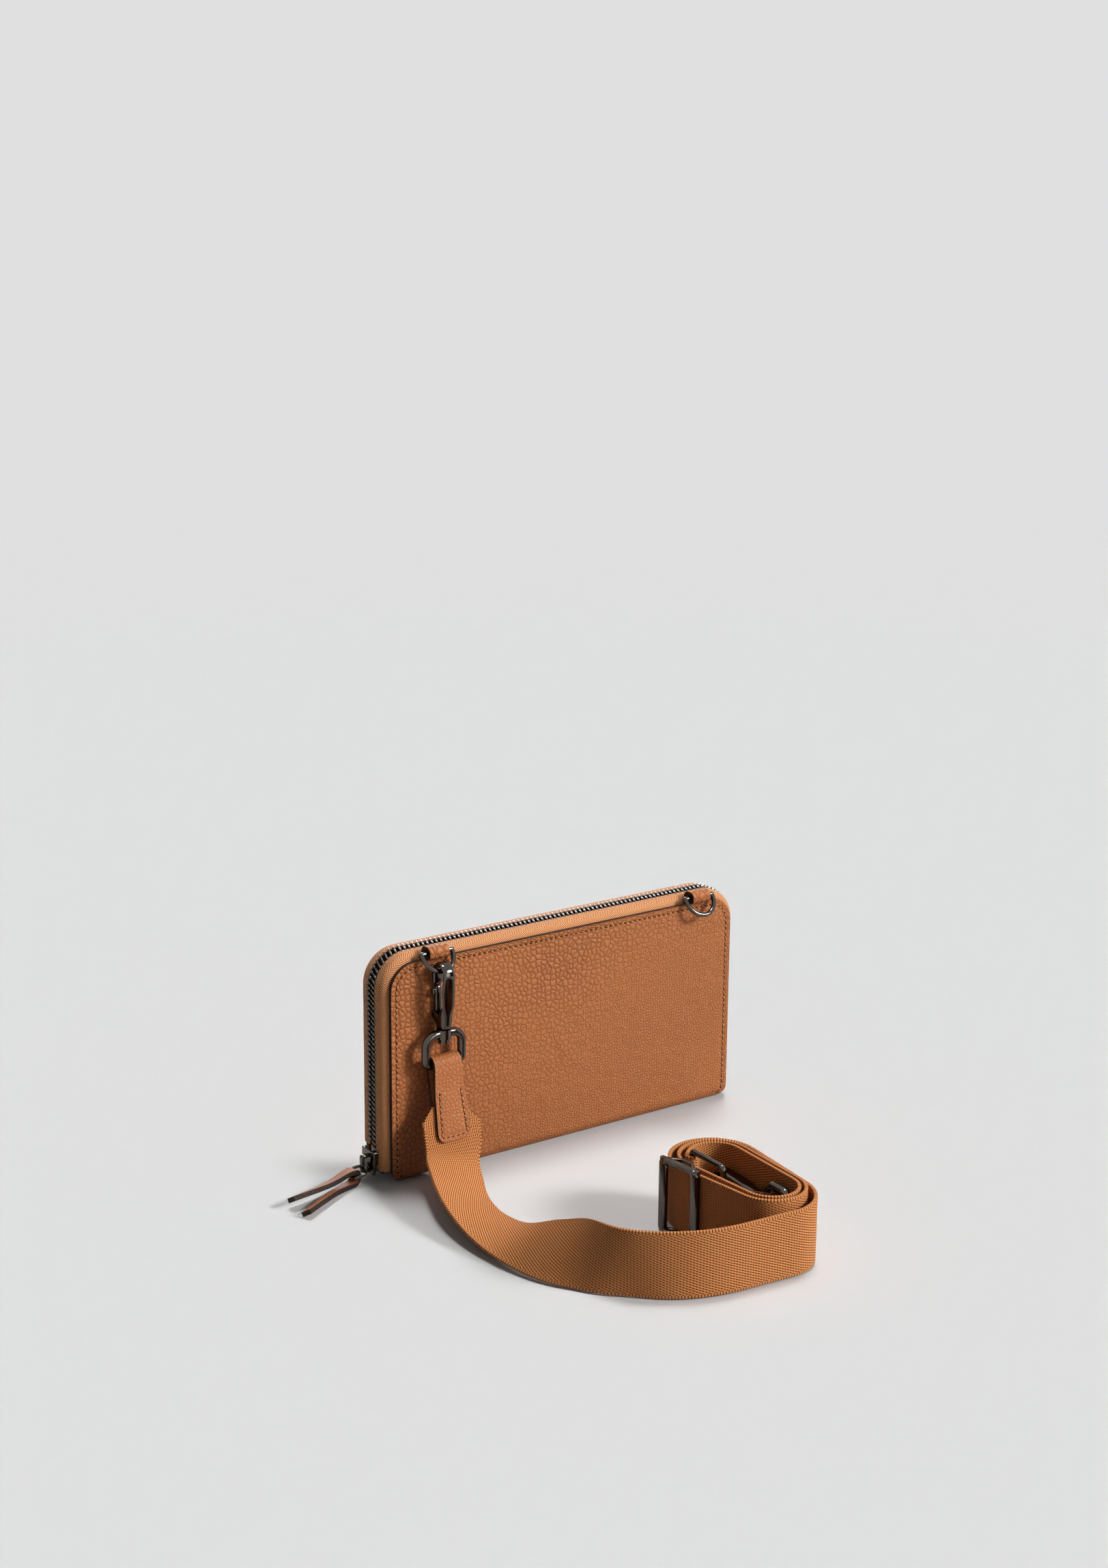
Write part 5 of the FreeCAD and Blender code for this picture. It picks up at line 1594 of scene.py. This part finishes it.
@dataclass
class Strap:
    """The woven strap: chamfered end in the tab, twisted drop, standing run on the floor, and the roll."""

    width: float = 28.5
    thickness: float = 1.5
    soft: float = 0.4
    tip_width: float = 18.0
    tip_at: Pair = (18.0, 22.4)
    shoulder_at: Pair = (24.0, 28.4)
    leave_at: float = 36.0
    tip_gap: float = 0.6
    tip_rows: int = 32
    rows: int = 520
    columns: Steps = (-1.0, -0.95, -0.85, -0.65, -0.4, 0.0, 0.4, 0.65, 0.85, 0.95, 1.0)
    foot_lift: float = 0.45
    roll_lift: float = 3.0
    lift_from: float = 2.0
    lift_over: float = 3.0
    drop_left: tuple[Place, ...] = (
        (-86.5, -28.6, 17.2), (-88.7, -33.9, 15.6), (-91.6, -41.4, 14.2), (-94.9, -50.6, 12.9),
        (-97.8, -61.1, 10.8), (-99.4, -72.4, 8.0), (-100.0, -84.1, 5.5), (-99.4, -95.8, 3.7),
        (-97.6, -107.3, 2.2), (-94.7, -118.2, 1.15), (-90.3, -127.9, 0.8), (-84.6, -136.5, 0.6),
        (-78.9, -144.8, -0.1))
    drop_right: tuple[Place, ...] = (
        (-57.5, -27.3, 10.9), (-60.5, -34.0, 5.7), (-64.2, -42.6, 2.5), (-67.7, -52.4, 1.5),
        (-69.7, -63.0, 1.5), (-70.1, -73.8, 2.4), (-70.0, -84.5, 4.8), (-70.0, -94.9, 9.5),
        (-70.5, -105.2, 14.8), (-71.6, -115.7, 19.55), (-73.2, -125.9, 24.1), (-74.8, -135.6, 27.6),
        (-74.3, -144.2, 29.3))
    roll_start: Pair = (-71.45, -151.95)
    roll_circles: tuple[Place, ...] = (
        (-24.8, -114.2, 60.0109), (-3.0, -157.0, 19.0), (-1.0, -119.5, 19.0), (-1.0, -155.5, 14.5),
        (0.0, -118.2, 15.2), (-0.5, -155.0, 11.7), (1.0, -117.4, 11.6), (-8.6, -113.5, 2.3))
    last_turn: float = 200.0
    turn_step: float = 0.22
    run_step: float = 6.0

    def roll(self) -> tuple[Array, Array]:
        """The standing strap seen from above: circles passed on the left, joined by their outer tangents.

        Its lower edge lifts off the floor in a smooth step over the first turns.

        Returns:
            Points of the strap's lower edge, and the direction of the strap there.
        """
        spot = np.array(self.roll_start)
        final = len(self.roll_circles) - 1
        lines, ways, marks = [], [], []
        for number, (x, y, radius) in enumerate(self.roll_circles):
            arrive = math.atan2(spot[1] - y, spot[0] - x)
            sweep = math.radians(self.last_turn)
            if number < final:
                next_x, next_y, next_radius = self.roll_circles[number + 1]
                away = math.hypot(next_x - x, next_y - y)
                leave = math.atan2(next_y - y, next_x - x) - math.acos((radius - next_radius) / away)
                sweep = (leave - arrive) % (2.0 * math.pi)
            count = max(2, int(sweep / self.turn_step))
            share = np.arange(count + (number == final)) / count
            angle = arrive + sweep * share
            lines.append(np.stack([x + radius * np.cos(angle), y + radius * np.sin(angle)], -1))
            ways.append(np.stack([-np.sin(angle), np.cos(angle)], -1))
            marks.append(2 * number + share)
            if number == final:
                break
            off = np.array([math.cos(leave), math.sin(leave)])
            start = np.array([x, y]) + off * radius
            spot = np.array([next_x, next_y]) + off * next_radius
            length = np.linalg.norm(spot - start)
            count = max(1, int(length / self.run_step))
            share = np.arange(count) / count
            lines.append(start + (spot - start) * share[:, None])
            ways.append(np.tile((spot - start) / length, (count, 1)))
            marks.append(2 * number + 1 + share)
        progress = np.clip((np.concatenate(marks) - self.lift_from) / self.lift_over, 0.0, 1.0)
        lift = self.foot_lift + (self.roll_lift - self.foot_lift) * progress ** 2 * (3.0 - 2.0 * progress)
        line = np.column_stack([np.concatenate(lines), lift])
        way = np.column_stack([np.concatenate(ways), np.zeros(len(line))])
        return line, way

    def grid(self, tab: StrapTab) -> Array:
        """The strap's middle face: straight end in the tab's plane, then a smooth ribbon.

        Args:
            tab: The tab that holds the end.

        Returns:
            Grid of points, rows along the strap and columns across it.
        """
        half = self.width / 2.0
        share = np.array(self.columns)[None, :, None]
        down = tab.place(np.array([[0.0, 0.0, -1.0]]))[0] - np.array(tab.base)
        leave = np.array(tab.base) + down * self.leave_at
        low, way = self.roll()
        left = np.vstack([leave - [half, 0.0, 0.0], self.drop_left, low])
        right = np.vstack([leave + [half, 0.0, 0.0], self.drop_right, low + [0.0, 0.0, self.width]])
        middle = (left + right) / 2.0
        across = unit(right - left) * half
        stations = reach_along(middle)
        asked = np.linspace(0.0, stations[-1], self.rows)
        one, two = (smooth_curve(stations, edge, down, way[-1], asked)[:, None]
                    for edge in (middle - across, middle + across))
        ribbon = (one + two) / 2.0 + (two - one) / 2.0 * share
        drop = np.linspace(self.tip_at[0], self.leave_at - self.tip_gap, self.tip_rows)
        half_left, half_right = (np.interp(drop, [tip, shoulder], [self.tip_width / 2.0, half])[:, None, None]
                                 for tip, shoulder in zip(self.tip_at, self.shoulder_at))
        end = np.array(tab.base) + down * drop[:, None]
        reach = np.where(share < 0.0, half_left, half_right) * share
        return np.concatenate([end[:, None] + np.array([1.0, 0.0, 0.0]) * reach, ribbon])

    def build(self, looks: Finishes, tab: StrapTab) -> None:
        """Make the strap.

        Args:
            looks: The finishes.
            tab: The tab that holds its end.
        """
        points = self.grid(tab)
        piece = surface("strap_weave", points, [looks.webbing], (0.0, -1.0, 0.0))
        settle(thicken(piece, self.thickness, 0.0, 0, self.soft), "strap", Slot.WEBBING, "strap_webbing")


@dataclass
class InnerLink:
    """The leather link between the square ring and the second swivel ring, inside the roll."""

    start: Pair = (6.6, -157.0)
    end: Pair = (-8.6, -134.5)
    start_wrap: float = 2.7
    end_wrap: float = 2.0
    leather: float = 1.0
    soft: float = 0.25
    middle: float = 17.25
    width: float = 13.6
    turn_rows: int = 17
    run_rows: int = 9
    run_share: Pair = (0.1, 0.9)
    columns: int = 9

    def build(self, looks: Finishes) -> None:
        """Make the link: a belt round two bars, as two arcs joined by their outer tangents.

        Args:
            looks: The finishes.
        """
        run_x, run_y = self.end[0] - self.start[0], self.end[1] - self.start[1]
        run = math.hypot(run_x, run_y)
        slope = math.degrees(math.acos((self.start_wrap - self.end_wrap) / run))
        far = arc((run, 0.0), self.end_wrap, slope, -slope, self.turn_rows)
        near = arc((0.0, 0.0), self.start_wrap, -slope, slope - 360.0, self.turn_rows)
        share = np.linspace(*self.run_share, self.run_rows)[:, None]
        belt = np.concatenate([far, far[-1] + (near[0] - far[-1]) * share,
                               near, near[-1] + (far[0] - near[-1]) * share])
        plan = turned(belt, math.degrees(math.atan2(run_y, run_x))) + np.array(self.start)
        high = self.middle + np.linspace(-0.5, 0.5, self.columns) * self.width
        points = grid_of(plan[:, :1], plan[:, 1:], high)
        piece = surface("inner_link_leather", points, [looks.tan, looks.edge], (0.0, 0.0, 1.0), wrap=True)
        settle(thicken(piece, self.leather, 0.0, 1, self.soft), "strap", Slot.TAN, "far_link")


@dataclass
class SnapHook:
    """A die-cast snap hook: the band that bends over into the eye, the lugs of its gate and the sprung gate.

    It is worked out hanging from the wire that its eye holds, with the band's width along its own Y.
    """

    name: str
    spot: Place
    axes: tuple[Place, Place, Place]
    body: str
    gate_body: str
    eye: float = 3.3
    band: float = 2.2
    eye_drop: float = 1.3
    nose_drop: float = 7.0
    base_drop: float = 25.6
    base_half: float = 3.4
    half_width: float = 2.7
    arm_half: float = 3.15
    arm_stations: Steps = (0.0, 0.25, 1.0)
    slot_stations: Steps = (0.0, 15.0, 16.5, 18.0, 19.5, 23.1, 24.2)
    slot_slope: Pair = (2.4, 0.2)
    gate_half: float = 1.6
    gate_slot: float = 1.7
    pin_drop: float = 20.2
    lug: float = 1.7
    lug_foot: Place = (-0.4, 2.2, 2.3)
    lug_turn: float = 60.0
    clearance: float = 0.3
    lever_length: float = 3.6
    lever_gap: float = 0.9
    section: float = 0.62
    around: int = 24
    nose_count: int = 6
    nose_gap: float = 1.0
    eye_count: int = 25
    arm_count: int = 30
    arm_from: float = 0.05
    lug_count: int = 14
    gate_count: int = 12
    band_ease: tuple[Steps, Steps] = ((0.55, 0.85, 0.96), (0.97, 0.88))
    lug_ease: Steps = (0.9, 1.0, 1.0, 0.86)
    gate_ease: tuple[Steps, Steps] = ((0.6, 0.92), (0.94, 0.75))
    lever_around: int = 20
    lever_ease: Steps = (1.0, 1.0, 1.0, 0.9, 0.6)
    lever_stations: Steps = (0.2, -0.4, -0.8, -1.15, -1.4)

    def place(self, points: Array) -> Array:
        """Turn local points into the frame: each axis times its coordinate, from the wire's spot."""
        return points @ np.array(self.axes) + np.array(self.spot)

    def bar(self, centre: Array, out: Array, thick: Array, wide: Array) -> Array:
        """Carry a rounded section, a superellipse, along a line in the hook's plane.

        Args:
            centre: The line, as X and Z.
            out: The section's outward direction at each station.
            thick: Half the thickness there.
            wide: Half the width there.

        Returns:
            Rings of points in the frame, as one bar.
        """
        across, outwards = squared(circle(self.around), self.section)
        x = centre[:, :1] + out[:, :1] * thick[:, None] * outwards
        z = centre[:, 1:] + out[:, 1:] * thick[:, None] * outwards
        return self.place(np.stack([x, wide[:, None] * across, z], -1))[None]

    def eased(self, ends: tuple[Steps, Steps], count: int) -> Array:
        """Scales along a bar: full, but smaller at its first and its last stations."""
        return np.concatenate([ends[0], np.ones(count - len(ends[0]) - len(ends[1])), ends[1]])

    def band_rings(self) -> Array:
        """The band from its nose over the eye and down the arm, which thickens to the base.

        Returns:
            Rings of points in the frame.
        """
        middle = self.eye + self.band / 2.0
        outer = self.eye + self.band
        bent = self.nose_count + self.eye_count
        tip = np.linspace(-self.nose_drop, -self.eye_drop - self.nose_gap, self.nose_count)
        share = np.linspace(self.arm_from, 1.0, self.arm_count)
        drop = self.eye_drop + (self.base_drop - self.eye_drop) * share
        outside = outer + (self.base_half - outer) * share
        inside = np.interp(drop, [*self.slot_stations, self.base_drop],
                           [self.eye, self.eye, *self.slot_slope, -self.gate_slot, -self.gate_slot,
                            -self.base_half, -self.base_half])
        centre = np.concatenate([np.column_stack([np.full(self.nose_count, -middle), tip]),
                                 arc((0.0, -self.eye_drop), middle, 180.0, 0.0, self.eye_count),
                                 np.column_stack([(outside + inside) / 2.0, -drop])])
        out = np.concatenate([np.tile([-1.0, 0.0], (self.nose_count, 1)),
                              arc((0.0, 0.0), 1.0, 180.0, 0.0, self.eye_count),
                              np.tile([1.0, 0.0], (self.arm_count, 1))])
        thick = np.concatenate([np.full(bent, self.band / 2.0), (outside - inside) / 2.0])
        arm = np.interp(share, self.arm_stations, [self.half_width, self.arm_half, self.half_width])
        wide = np.concatenate([np.full(bent, self.half_width), arm])
        ease = self.eased(self.band_ease, len(thick))
        return self.bar(centre, out, thick * ease, wide * ease)

    def lug_rings(self) -> Array:
        """The two lugs beside the gate: a stadium round the pin and the base, given its thickness.

        Returns:
            Rings of points in the frame.
        """
        x, drop, radius = self.lug_foot
        half_turn = self.lug_turn + 180.0
        outline = np.concatenate([
            arc((-self.eye - self.band / 2.0, -self.pin_drop), self.lug, self.lug_turn, half_turn,
                self.lug_count),
            arc((x, -self.pin_drop - drop), radius, half_turn, half_turn + 180.0, self.lug_count)])
        middle = outline.mean(0)
        flat = middle + (outline - middle) * np.array(self.lug_ease)[:, None, None]
        depth = np.linspace(self.gate_half + self.clearance, self.half_width, len(self.lug_ease))[:, None]
        left, right = (self.place(grid_of(flat[..., 0], sign * depth, flat[..., 1])) for sign in (-1.0, 1.0))
        return np.stack([left, right[:, ::-1]])

    def gate_rings(self) -> Array:
        """The gate: an upright bar from below its pin to just under the nose.

        Returns:
            Rings of points in the frame.
        """
        low, high = -self.pin_drop - self.band / 2.0, -self.nose_drop - self.clearance
        ease = self.eased(self.gate_ease, self.gate_count)
        centre = np.column_stack([np.full(self.gate_count, -self.eye - self.band / 2.0),
                                  np.linspace(low, high, self.gate_count)])
        out = np.tile([-1.0, 0.0], (self.gate_count, 1))
        return self.bar(centre, out, ease * self.band / 2.0, ease * self.gate_half)

    def lever_rings(self) -> Array:
        """The gate's thumb lever: a rounded knob that stands out sideways.

        Returns:
            Rings of points in the frame.
        """
        angle = circle(self.lever_around)
        ease = np.array(self.lever_ease)[:, None]
        depth = -self.gate_half + np.array(self.lever_stations)[:, None]
        half = self.lever_length / 2.0
        top = -self.nose_drop - self.clearance - self.lever_gap
        x = -self.eye - self.band / 2.0 + self.band / 2.0 * ease * np.cos(angle)
        return self.place(grid_of(x, depth, top - half + half * ease * np.sin(angle)))[None]

    def build(self, looks: Finishes) -> None:
        """Make the hook's four pieces.

        Args:
            looks: The finishes.
        """
        for word, rings, body, nodes in (
                ("hook_band", self.band_rings(), self.body, [self.name + "hook_body"]),
                ("hook_lugs", self.lug_rings(), self.body, []),
                ("hook_latch", self.gate_rings(), self.gate_body, [self.name + "hook_gate"]),
                ("hook_lever", self.lever_rings(), self.gate_body, [])):
            settle(lofts(self.name + word, rings, looks.polished), body, Slot.POLISHED, *nodes)


@dataclass
class Adjuster:
    """The strap's adjuster: a heavy rounded frame over its cast bars, straight along its rails."""

    spot: Pair = (-19.789, -122.371)
    heading: float = -82.82
    bar_at: float = 9.15
    rail_low: float = 1.45
    rail_high: float = 33.05
    turn: float = 2.0
    bar_half: float = 2.0
    rail_half: float = 1.2
    depth: float = -2.45
    depth_half: float = 1.45
    section: float = 0.62
    around: int = 20
    turn_rows: int = 9

    def build(self, looks: Finishes) -> None:
        """Make the frame: a superellipse carried round a rounded rectangle, widest at its end bars.

        Args:
            looks: The finishes.
        """
        side, high, low = self.bar_at - self.turn, self.rail_high - self.turn, self.rail_low + self.turn
        corners = (((side, high), 0.0), ((-side, high), 90.0), ((-side, low), 180.0), ((side, low), 270.0))
        line = np.concatenate([arc(spot, self.turn, angle, angle + 90.0, self.turn_rows)
                               for spot, angle in corners])
        out = np.concatenate([arc((0.0, 0.0), 1.0, angle, angle + 90.0, self.turn_rows)
                              for _, angle in corners])
        half = self.rail_half + (self.bar_half - self.rail_half) * out[:, :1] ** 2
        across, deep = squared(circle(self.around), self.section)
        flat = line[:, None] + out[:, None] * (half * across)[..., None]
        rings = grid_of(flat[..., 0], self.depth + self.depth_half * deep, flat[..., 1])
        rings = turned(rings, self.heading) + np.array([*self.spot, 0.0])
        settle(lofts("glide_frame", rings[None], looks.polished, closed=True), "adjuster", Slot.POLISHED)


@dataclass
class Hardware:
    """The metal pieces whose solids show as they are, and those whose cast edges are softened."""

    polished: tuple[str, ...] = (
        "pull_ring", "left_d_ring", "right_d_ring", "gate_pin", "swivel_rivet", "swivel_ring", "far_gate_pin",
        "far_swivel_rivet", "far_swivel_ring", "square_ring")
    softened: tuple[tuple[str, str, float], ...] = (
        ("slider_body", "zip_slider", 0.45), ("slider_bail", "zip_slider", 0.45),
        ("tri_glide", "adjuster", 0.6), ("zip_stop", "pouch", 0.3))
    join_mm: float = 0.001
    flat_angle: float = 2.0
    edge_angle: float = 35.0

    def soften(self, looks: Finishes, node: Piece, body: str, radius: float) -> None:
        """Copy a solid's mesh, join its loose triangles to flat faces and round its edges as a casting's are.

        Args:
            looks: The finishes.
            node: The solid.
            body: The body that it rides on.
            radius: The edges' radius in millimetres.
        """
        shell = bmesh.new()
        shell.from_mesh(node.data)
        bmesh.ops.remove_doubles(shell, verts=shell.verts, dist=self.join_mm * MM)
        bmesh.ops.dissolve_limit(shell, angle_limit=math.radians(self.flat_angle), verts=shell.verts,
                                 edges=shell.edges)
        mesh = bpy.data.meshes.new(node.name + "_cast")
        shell.to_mesh(mesh)
        shell.free()
        mesh.polygons.foreach_set("use_smooth", np.ones(len(mesh.polygons), bool))
        mesh.materials.clear()
        mesh.materials.append(looks.polished)
        piece = bpy.data.objects.new(mesh.name, mesh)
        bpy.context.scene.collection.objects.link(piece)
        round_edges(piece, "cast_edge", radius, segments=3, angle=self.edge_angle)
        settle(piece, body, Slot.POLISHED, node.name)

    def dress(self, looks: Finishes, nodes: dict[str, Piece]) -> None:
        """Give the solids their plating and the cast ones their soft edges.

        Args:
            looks: The finishes.
            nodes: The solids by name.
        """
        for name in self.polished:
            nodes[name].material_slots[0].material = looks.polished
            log.info("%s is plated", name)
        for name, body, radius in self.softened:
            self.soften(looks, nodes[name], body, radius)


@dataclass
class Studio:
    """Floor, light, black cards for the metal to mirror, and camera."""

    pale: str = "#e0e0e0"
    target: Place = (-0.840, 0.0, 164.490)
    azimuth: float = -35.0
    elevation: float = 15.0753
    roll: float = 0.4805
    distance: float = 1124.18
    lens: float = 58.71
    sensor: float = 36.0
    near_m: float = 0.05
    floor_shown: float = 0.665
    floor_bounce: float = 0.3
    floor_half: float = 6000.0
    floor_count: int = 49
    floor_drop: float = 0.1
    sweep_from: float = 2000.0
    sweep_bend: float = 500.0
    sweep_slope: float = 0.35
    fade_m: Pair = (0.9, 2.0)
    key_from: Place = (0.15, 0.13, 0.98)
    key_strength: float = 1.7
    key_softness: float = 16.0
    front_from: Place = (0.52, -0.69, 0.50)
    front_strength: float = 2.8
    front_softness: float = 14.0
    panel_aim: Place = (-10.0, -40.0, 45.0)
    front_at: Place = (250.0, -520.0, 130.0)
    front_power: float = 1.4
    rear_at: Place = (260.0, 640.0, 240.0)
    rear_power: float = 3.0
    panel_size: Pair = (0.5, 0.4)
    ambient: float = 0.15
    card_spots: tuple[Place, Place] = ((262.0, -410.0, 120.0), (-330.0, 300.0, 150.0))
    card_half: Pair = (95.0, 190.0)
    floor_casters: tuple[str, ...] = ("strap_weave", "pull_strip_leather")

    def floor_material(self) -> Material:
        """Make the floor's finish: matte near the object, and far from it a glow equal to the world's.

        Returns:
            The material.
        """
        material = bpy.data.materials.new("pale_studio_floor")
        material.use_nodes = True
        tree = material.node_tree
        tree.nodes.clear()
        shown = shown_rays(tree)
        colour = add(tree, "Mix", {0: shown, 2: self.floor_bounce, 3: self.floor_shown})
        matte = add(tree, "BsdfDiffuse", {"Color": colour})
        tone = add(tree, "Mix", {0: shown, 2: self.ambient, 3: linear(self.pale)[0]})
        glow = add(tree, "Emission", {"Color": tone})
        place = add(tree, "TexCoord").outputs["Object"]
        away = add(tree, "VectorMath", {0: place}, operation="LENGTH")
        fade = add(tree, "MapRange", {"Value": away.outputs["Value"], **span(self.fade_m)},
                   interpolation_type="SMOOTHSTEP")
        sweep = add(tree, "MixShader", {0: fade, 1: matte, 2: glow})
        add(tree, "OutputMaterial", {"Surface": sweep})
        return material

    def floor(self) -> Piece:
        """Lay a floor, pale to the camera and in metal, that sweeps up and glows as the world does far away.

        Its height is a hyperbola of the distance from the middle, level over the first two metres.

        Returns:
            The floor.
        """
        line = np.linspace(-self.floor_half, self.floor_half, self.floor_count)
        x, y = np.meshgrid(line, line)
        away = np.maximum(np.hypot(x, y) - self.sweep_from, 0.0)
        z = self.sweep_slope * (np.hypot(away, self.sweep_bend) - self.sweep_bend) - self.floor_drop
        floor = surface("studio_floor", grid_of(x, y, z), [self.floor_material()], (0.0, 0.0, 1.0))
        return floor

    def cards(self) -> None:
        """Stand black cards out of the picture, each square to the pouch, that only the metal mirrors."""
        material = bpy.data.materials.new("black_card")
        material.use_nodes = True
        shader = material.node_tree.nodes["Principled BSDF"]
        feed(material.node_tree, shader, {"Base Color": (0.0, 0.0, 0.0, 1.0), "Specular IOR Level": 0.0})
        wide, tall = self.card_half
        for number, (x, y, z) in enumerate(self.card_spots):
            side = np.array([y, -x, 0.0]) / math.hypot(x, y) * wide
            up = np.array([0.0, 0.0, tall])
            middle = np.array([x, y, z])
            corners = np.stack([middle - side - up, middle + side - up, middle + side + up,
                                middle - side + up])
            card = new_piece("black_card_%d" % (number + 1), corners, [[0, 1, 2, 3]], [material])
            card.visible_camera = card.visible_diffuse = card.visible_shadow = False
            card.visible_transmission = card.visible_volume_scatter = False

    def panel(self, name: str, spot: Place, power: float, spared: bpy.types.Collection) -> None:
        """Hang a soft light panel that faces the pouch.

        Args:
            name: The panel's name.
            spot: Its middle.
            power: Its power in watts.
            spared: What it leaves unlit.
        """
        data = bpy.data.lights.new(name, "AREA")
        data.energy = power
        data.shape = "RECTANGLE"
        data.size, data.size_y = self.panel_size
        panel = bpy.data.objects.new(name, data)
        back = Vector(spot) - Vector(self.panel_aim)
        panel.rotation_euler = back.to_track_quat("Z", "Y").to_euler()
        panel.location = Vector(spot) * MM
        panel.visible_camera = False
        panel.light_linking.receiver_collection = spared
        bpy.context.scene.collection.objects.link(panel)

    def sun(self, name: str, direction: Place, strength: float, softness: float) -> Piece:
        """Set one distant soft light.

        Args:
            name: The light's name.
            direction: Where it comes from.
            strength: Its strength.
            softness: How wide it is, in degrees.

        Returns:
            The light.
        """
        data = bpy.data.lights.new(name, "SUN")
        data.energy = strength
        data.angle = math.radians(softness)
        light = bpy.data.objects.new(name, data)
        light.rotation_euler = Vector(direction).to_track_quat("Z", "Y").to_euler()
        bpy.context.scene.collection.objects.link(light)
        return light

    def lights(self, floor: Piece) -> None:
        """Set an overhead light, a front light and two soft panels that spare the floor.

        The front light comes twice: once for the object, and once for the floor, on which only the strap and
        the pull strip shade it, as if a flag kept the pouch's own long shadow away.

        Args:
            floor: The floor, on which the panels would leave bright patches.
        """
        spared, lit, casters = (bpy.data.collections.new(name)
                                for name in ("spared_floor", "lit_floor", "floor_casters"))
        spared.objects.link(floor)
        spared.collection_objects[0].light_linking.link_state = "EXCLUDE"
        lit.objects.link(floor)
        for name in self.floor_casters:
            casters.objects.link(bpy.data.objects[name])
        self.sun("overhead_light", self.key_from, self.key_strength, self.key_softness)
        front = self.sun("front_light", self.front_from, self.front_strength, self.front_softness)
        front.light_linking.receiver_collection = spared
        below = self.sun("front_floor_light", self.front_from, self.front_strength, self.front_softness)
        below.light_linking.receiver_collection = lit
        below.light_linking.blocker_collection = casters
        self.panel("front_panel_light", self.front_at, self.front_power, spared)
        self.panel("rear_panel_light", self.rear_at, self.rear_power, spared)

    def world(self) -> None:
        """Set dim even light all round, with a pale background wherever the world itself is seen."""
        world = bpy.data.worlds.new("pale_studio")
        bpy.context.scene.world = world
        world.use_nodes = True
        tree = world.node_tree
        tree.nodes.clear()
        dim = add(tree, "Background", {"Color": (1.0, 1.0, 1.0, 1.0), "Strength": self.ambient})
        bright = add(tree, "Background", {"Color": linear(self.pale), "Strength": 1.0})
        mix = add(tree, "MixShader", {0: shown_rays(tree), 1: dim, 2: bright})
        add(tree, "OutputWorld", {"Surface": mix})

    def camera(self) -> None:
        """Set the camera from its angles about the target: back from it along the view, then rolled."""
        azimuth, elevation, roll = (math.radians(angle)
                                    for angle in (self.azimuth, self.elevation, self.roll))
        back = Vector((math.sin(azimuth) * math.cos(elevation), -math.cos(azimuth) * math.cos(elevation),
                       math.sin(elevation)))
        right = Vector((math.cos(azimuth), math.sin(azimuth), 0.0))
        up = back.cross(right)
        right, up = right * math.cos(roll) + up * math.sin(roll), up * math.cos(roll) - right * math.sin(roll)
        data = bpy.data.cameras.new("camera")
        data.sensor_fit = "VERTICAL"
        data.sensor_height = self.sensor
        data.lens = self.lens
        data.clip_start = self.near_m
        camera = bpy.data.objects.new("camera", data)
        place = Matrix((right, up, back)).transposed().to_4x4()
        place.translation = (Vector(self.target) + back * self.distance) * MM
        camera.matrix_world = place
        bpy.context.scene.collection.objects.link(camera)
        bpy.context.scene.camera = camera

    def build(self) -> None:
        """Set up the whole studio, once the pieces that shade the floor are there."""
        bpy.context.scene.view_settings.view_transform = "Standard"
        self.lights(self.floor())
        self.world()
        self.cards()
        self.camera()


def main() -> None:
    """Load the solids, build all pieces in order, then the studio."""
    logging.basicConfig(level=logging.INFO, format="%(name)s: %(message)s")
    for leftover in list(bpy.data.objects):
        bpy.data.objects.remove(leftover)
    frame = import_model()
    looks = Finishes()
    tab = StrapTab()
    Strap().build(looks, tab)
    tab.build(looks)
    for group in (Cover(), Zip(), RingLoops(), PullStrip(), Inside(), InnerLink()):
        group.build(looks)
    SnapHook("", spot=(-69.8, -17.439, 95.882), axes=((0.0, -1.0, 0.0), (1.0, 0.0, 0.0), (0.0, 0.0, 1.0)),
             body="hook", gate_body="gate").build(looks)
    SnapHook("far_", spot=(6.6, -115.7, 17.25), axes=((0.0, 0.0, 1.0), (1.0, 0.0, 0.0), (0.0, 1.0, 0.0)),
             body="strap", gate_body="strap").build(looks)
    Adjuster().build(looks)
    Hardware().dress(looks, frame["nodes"])
    Studio().build()


if __name__ == "__main__":
    main()
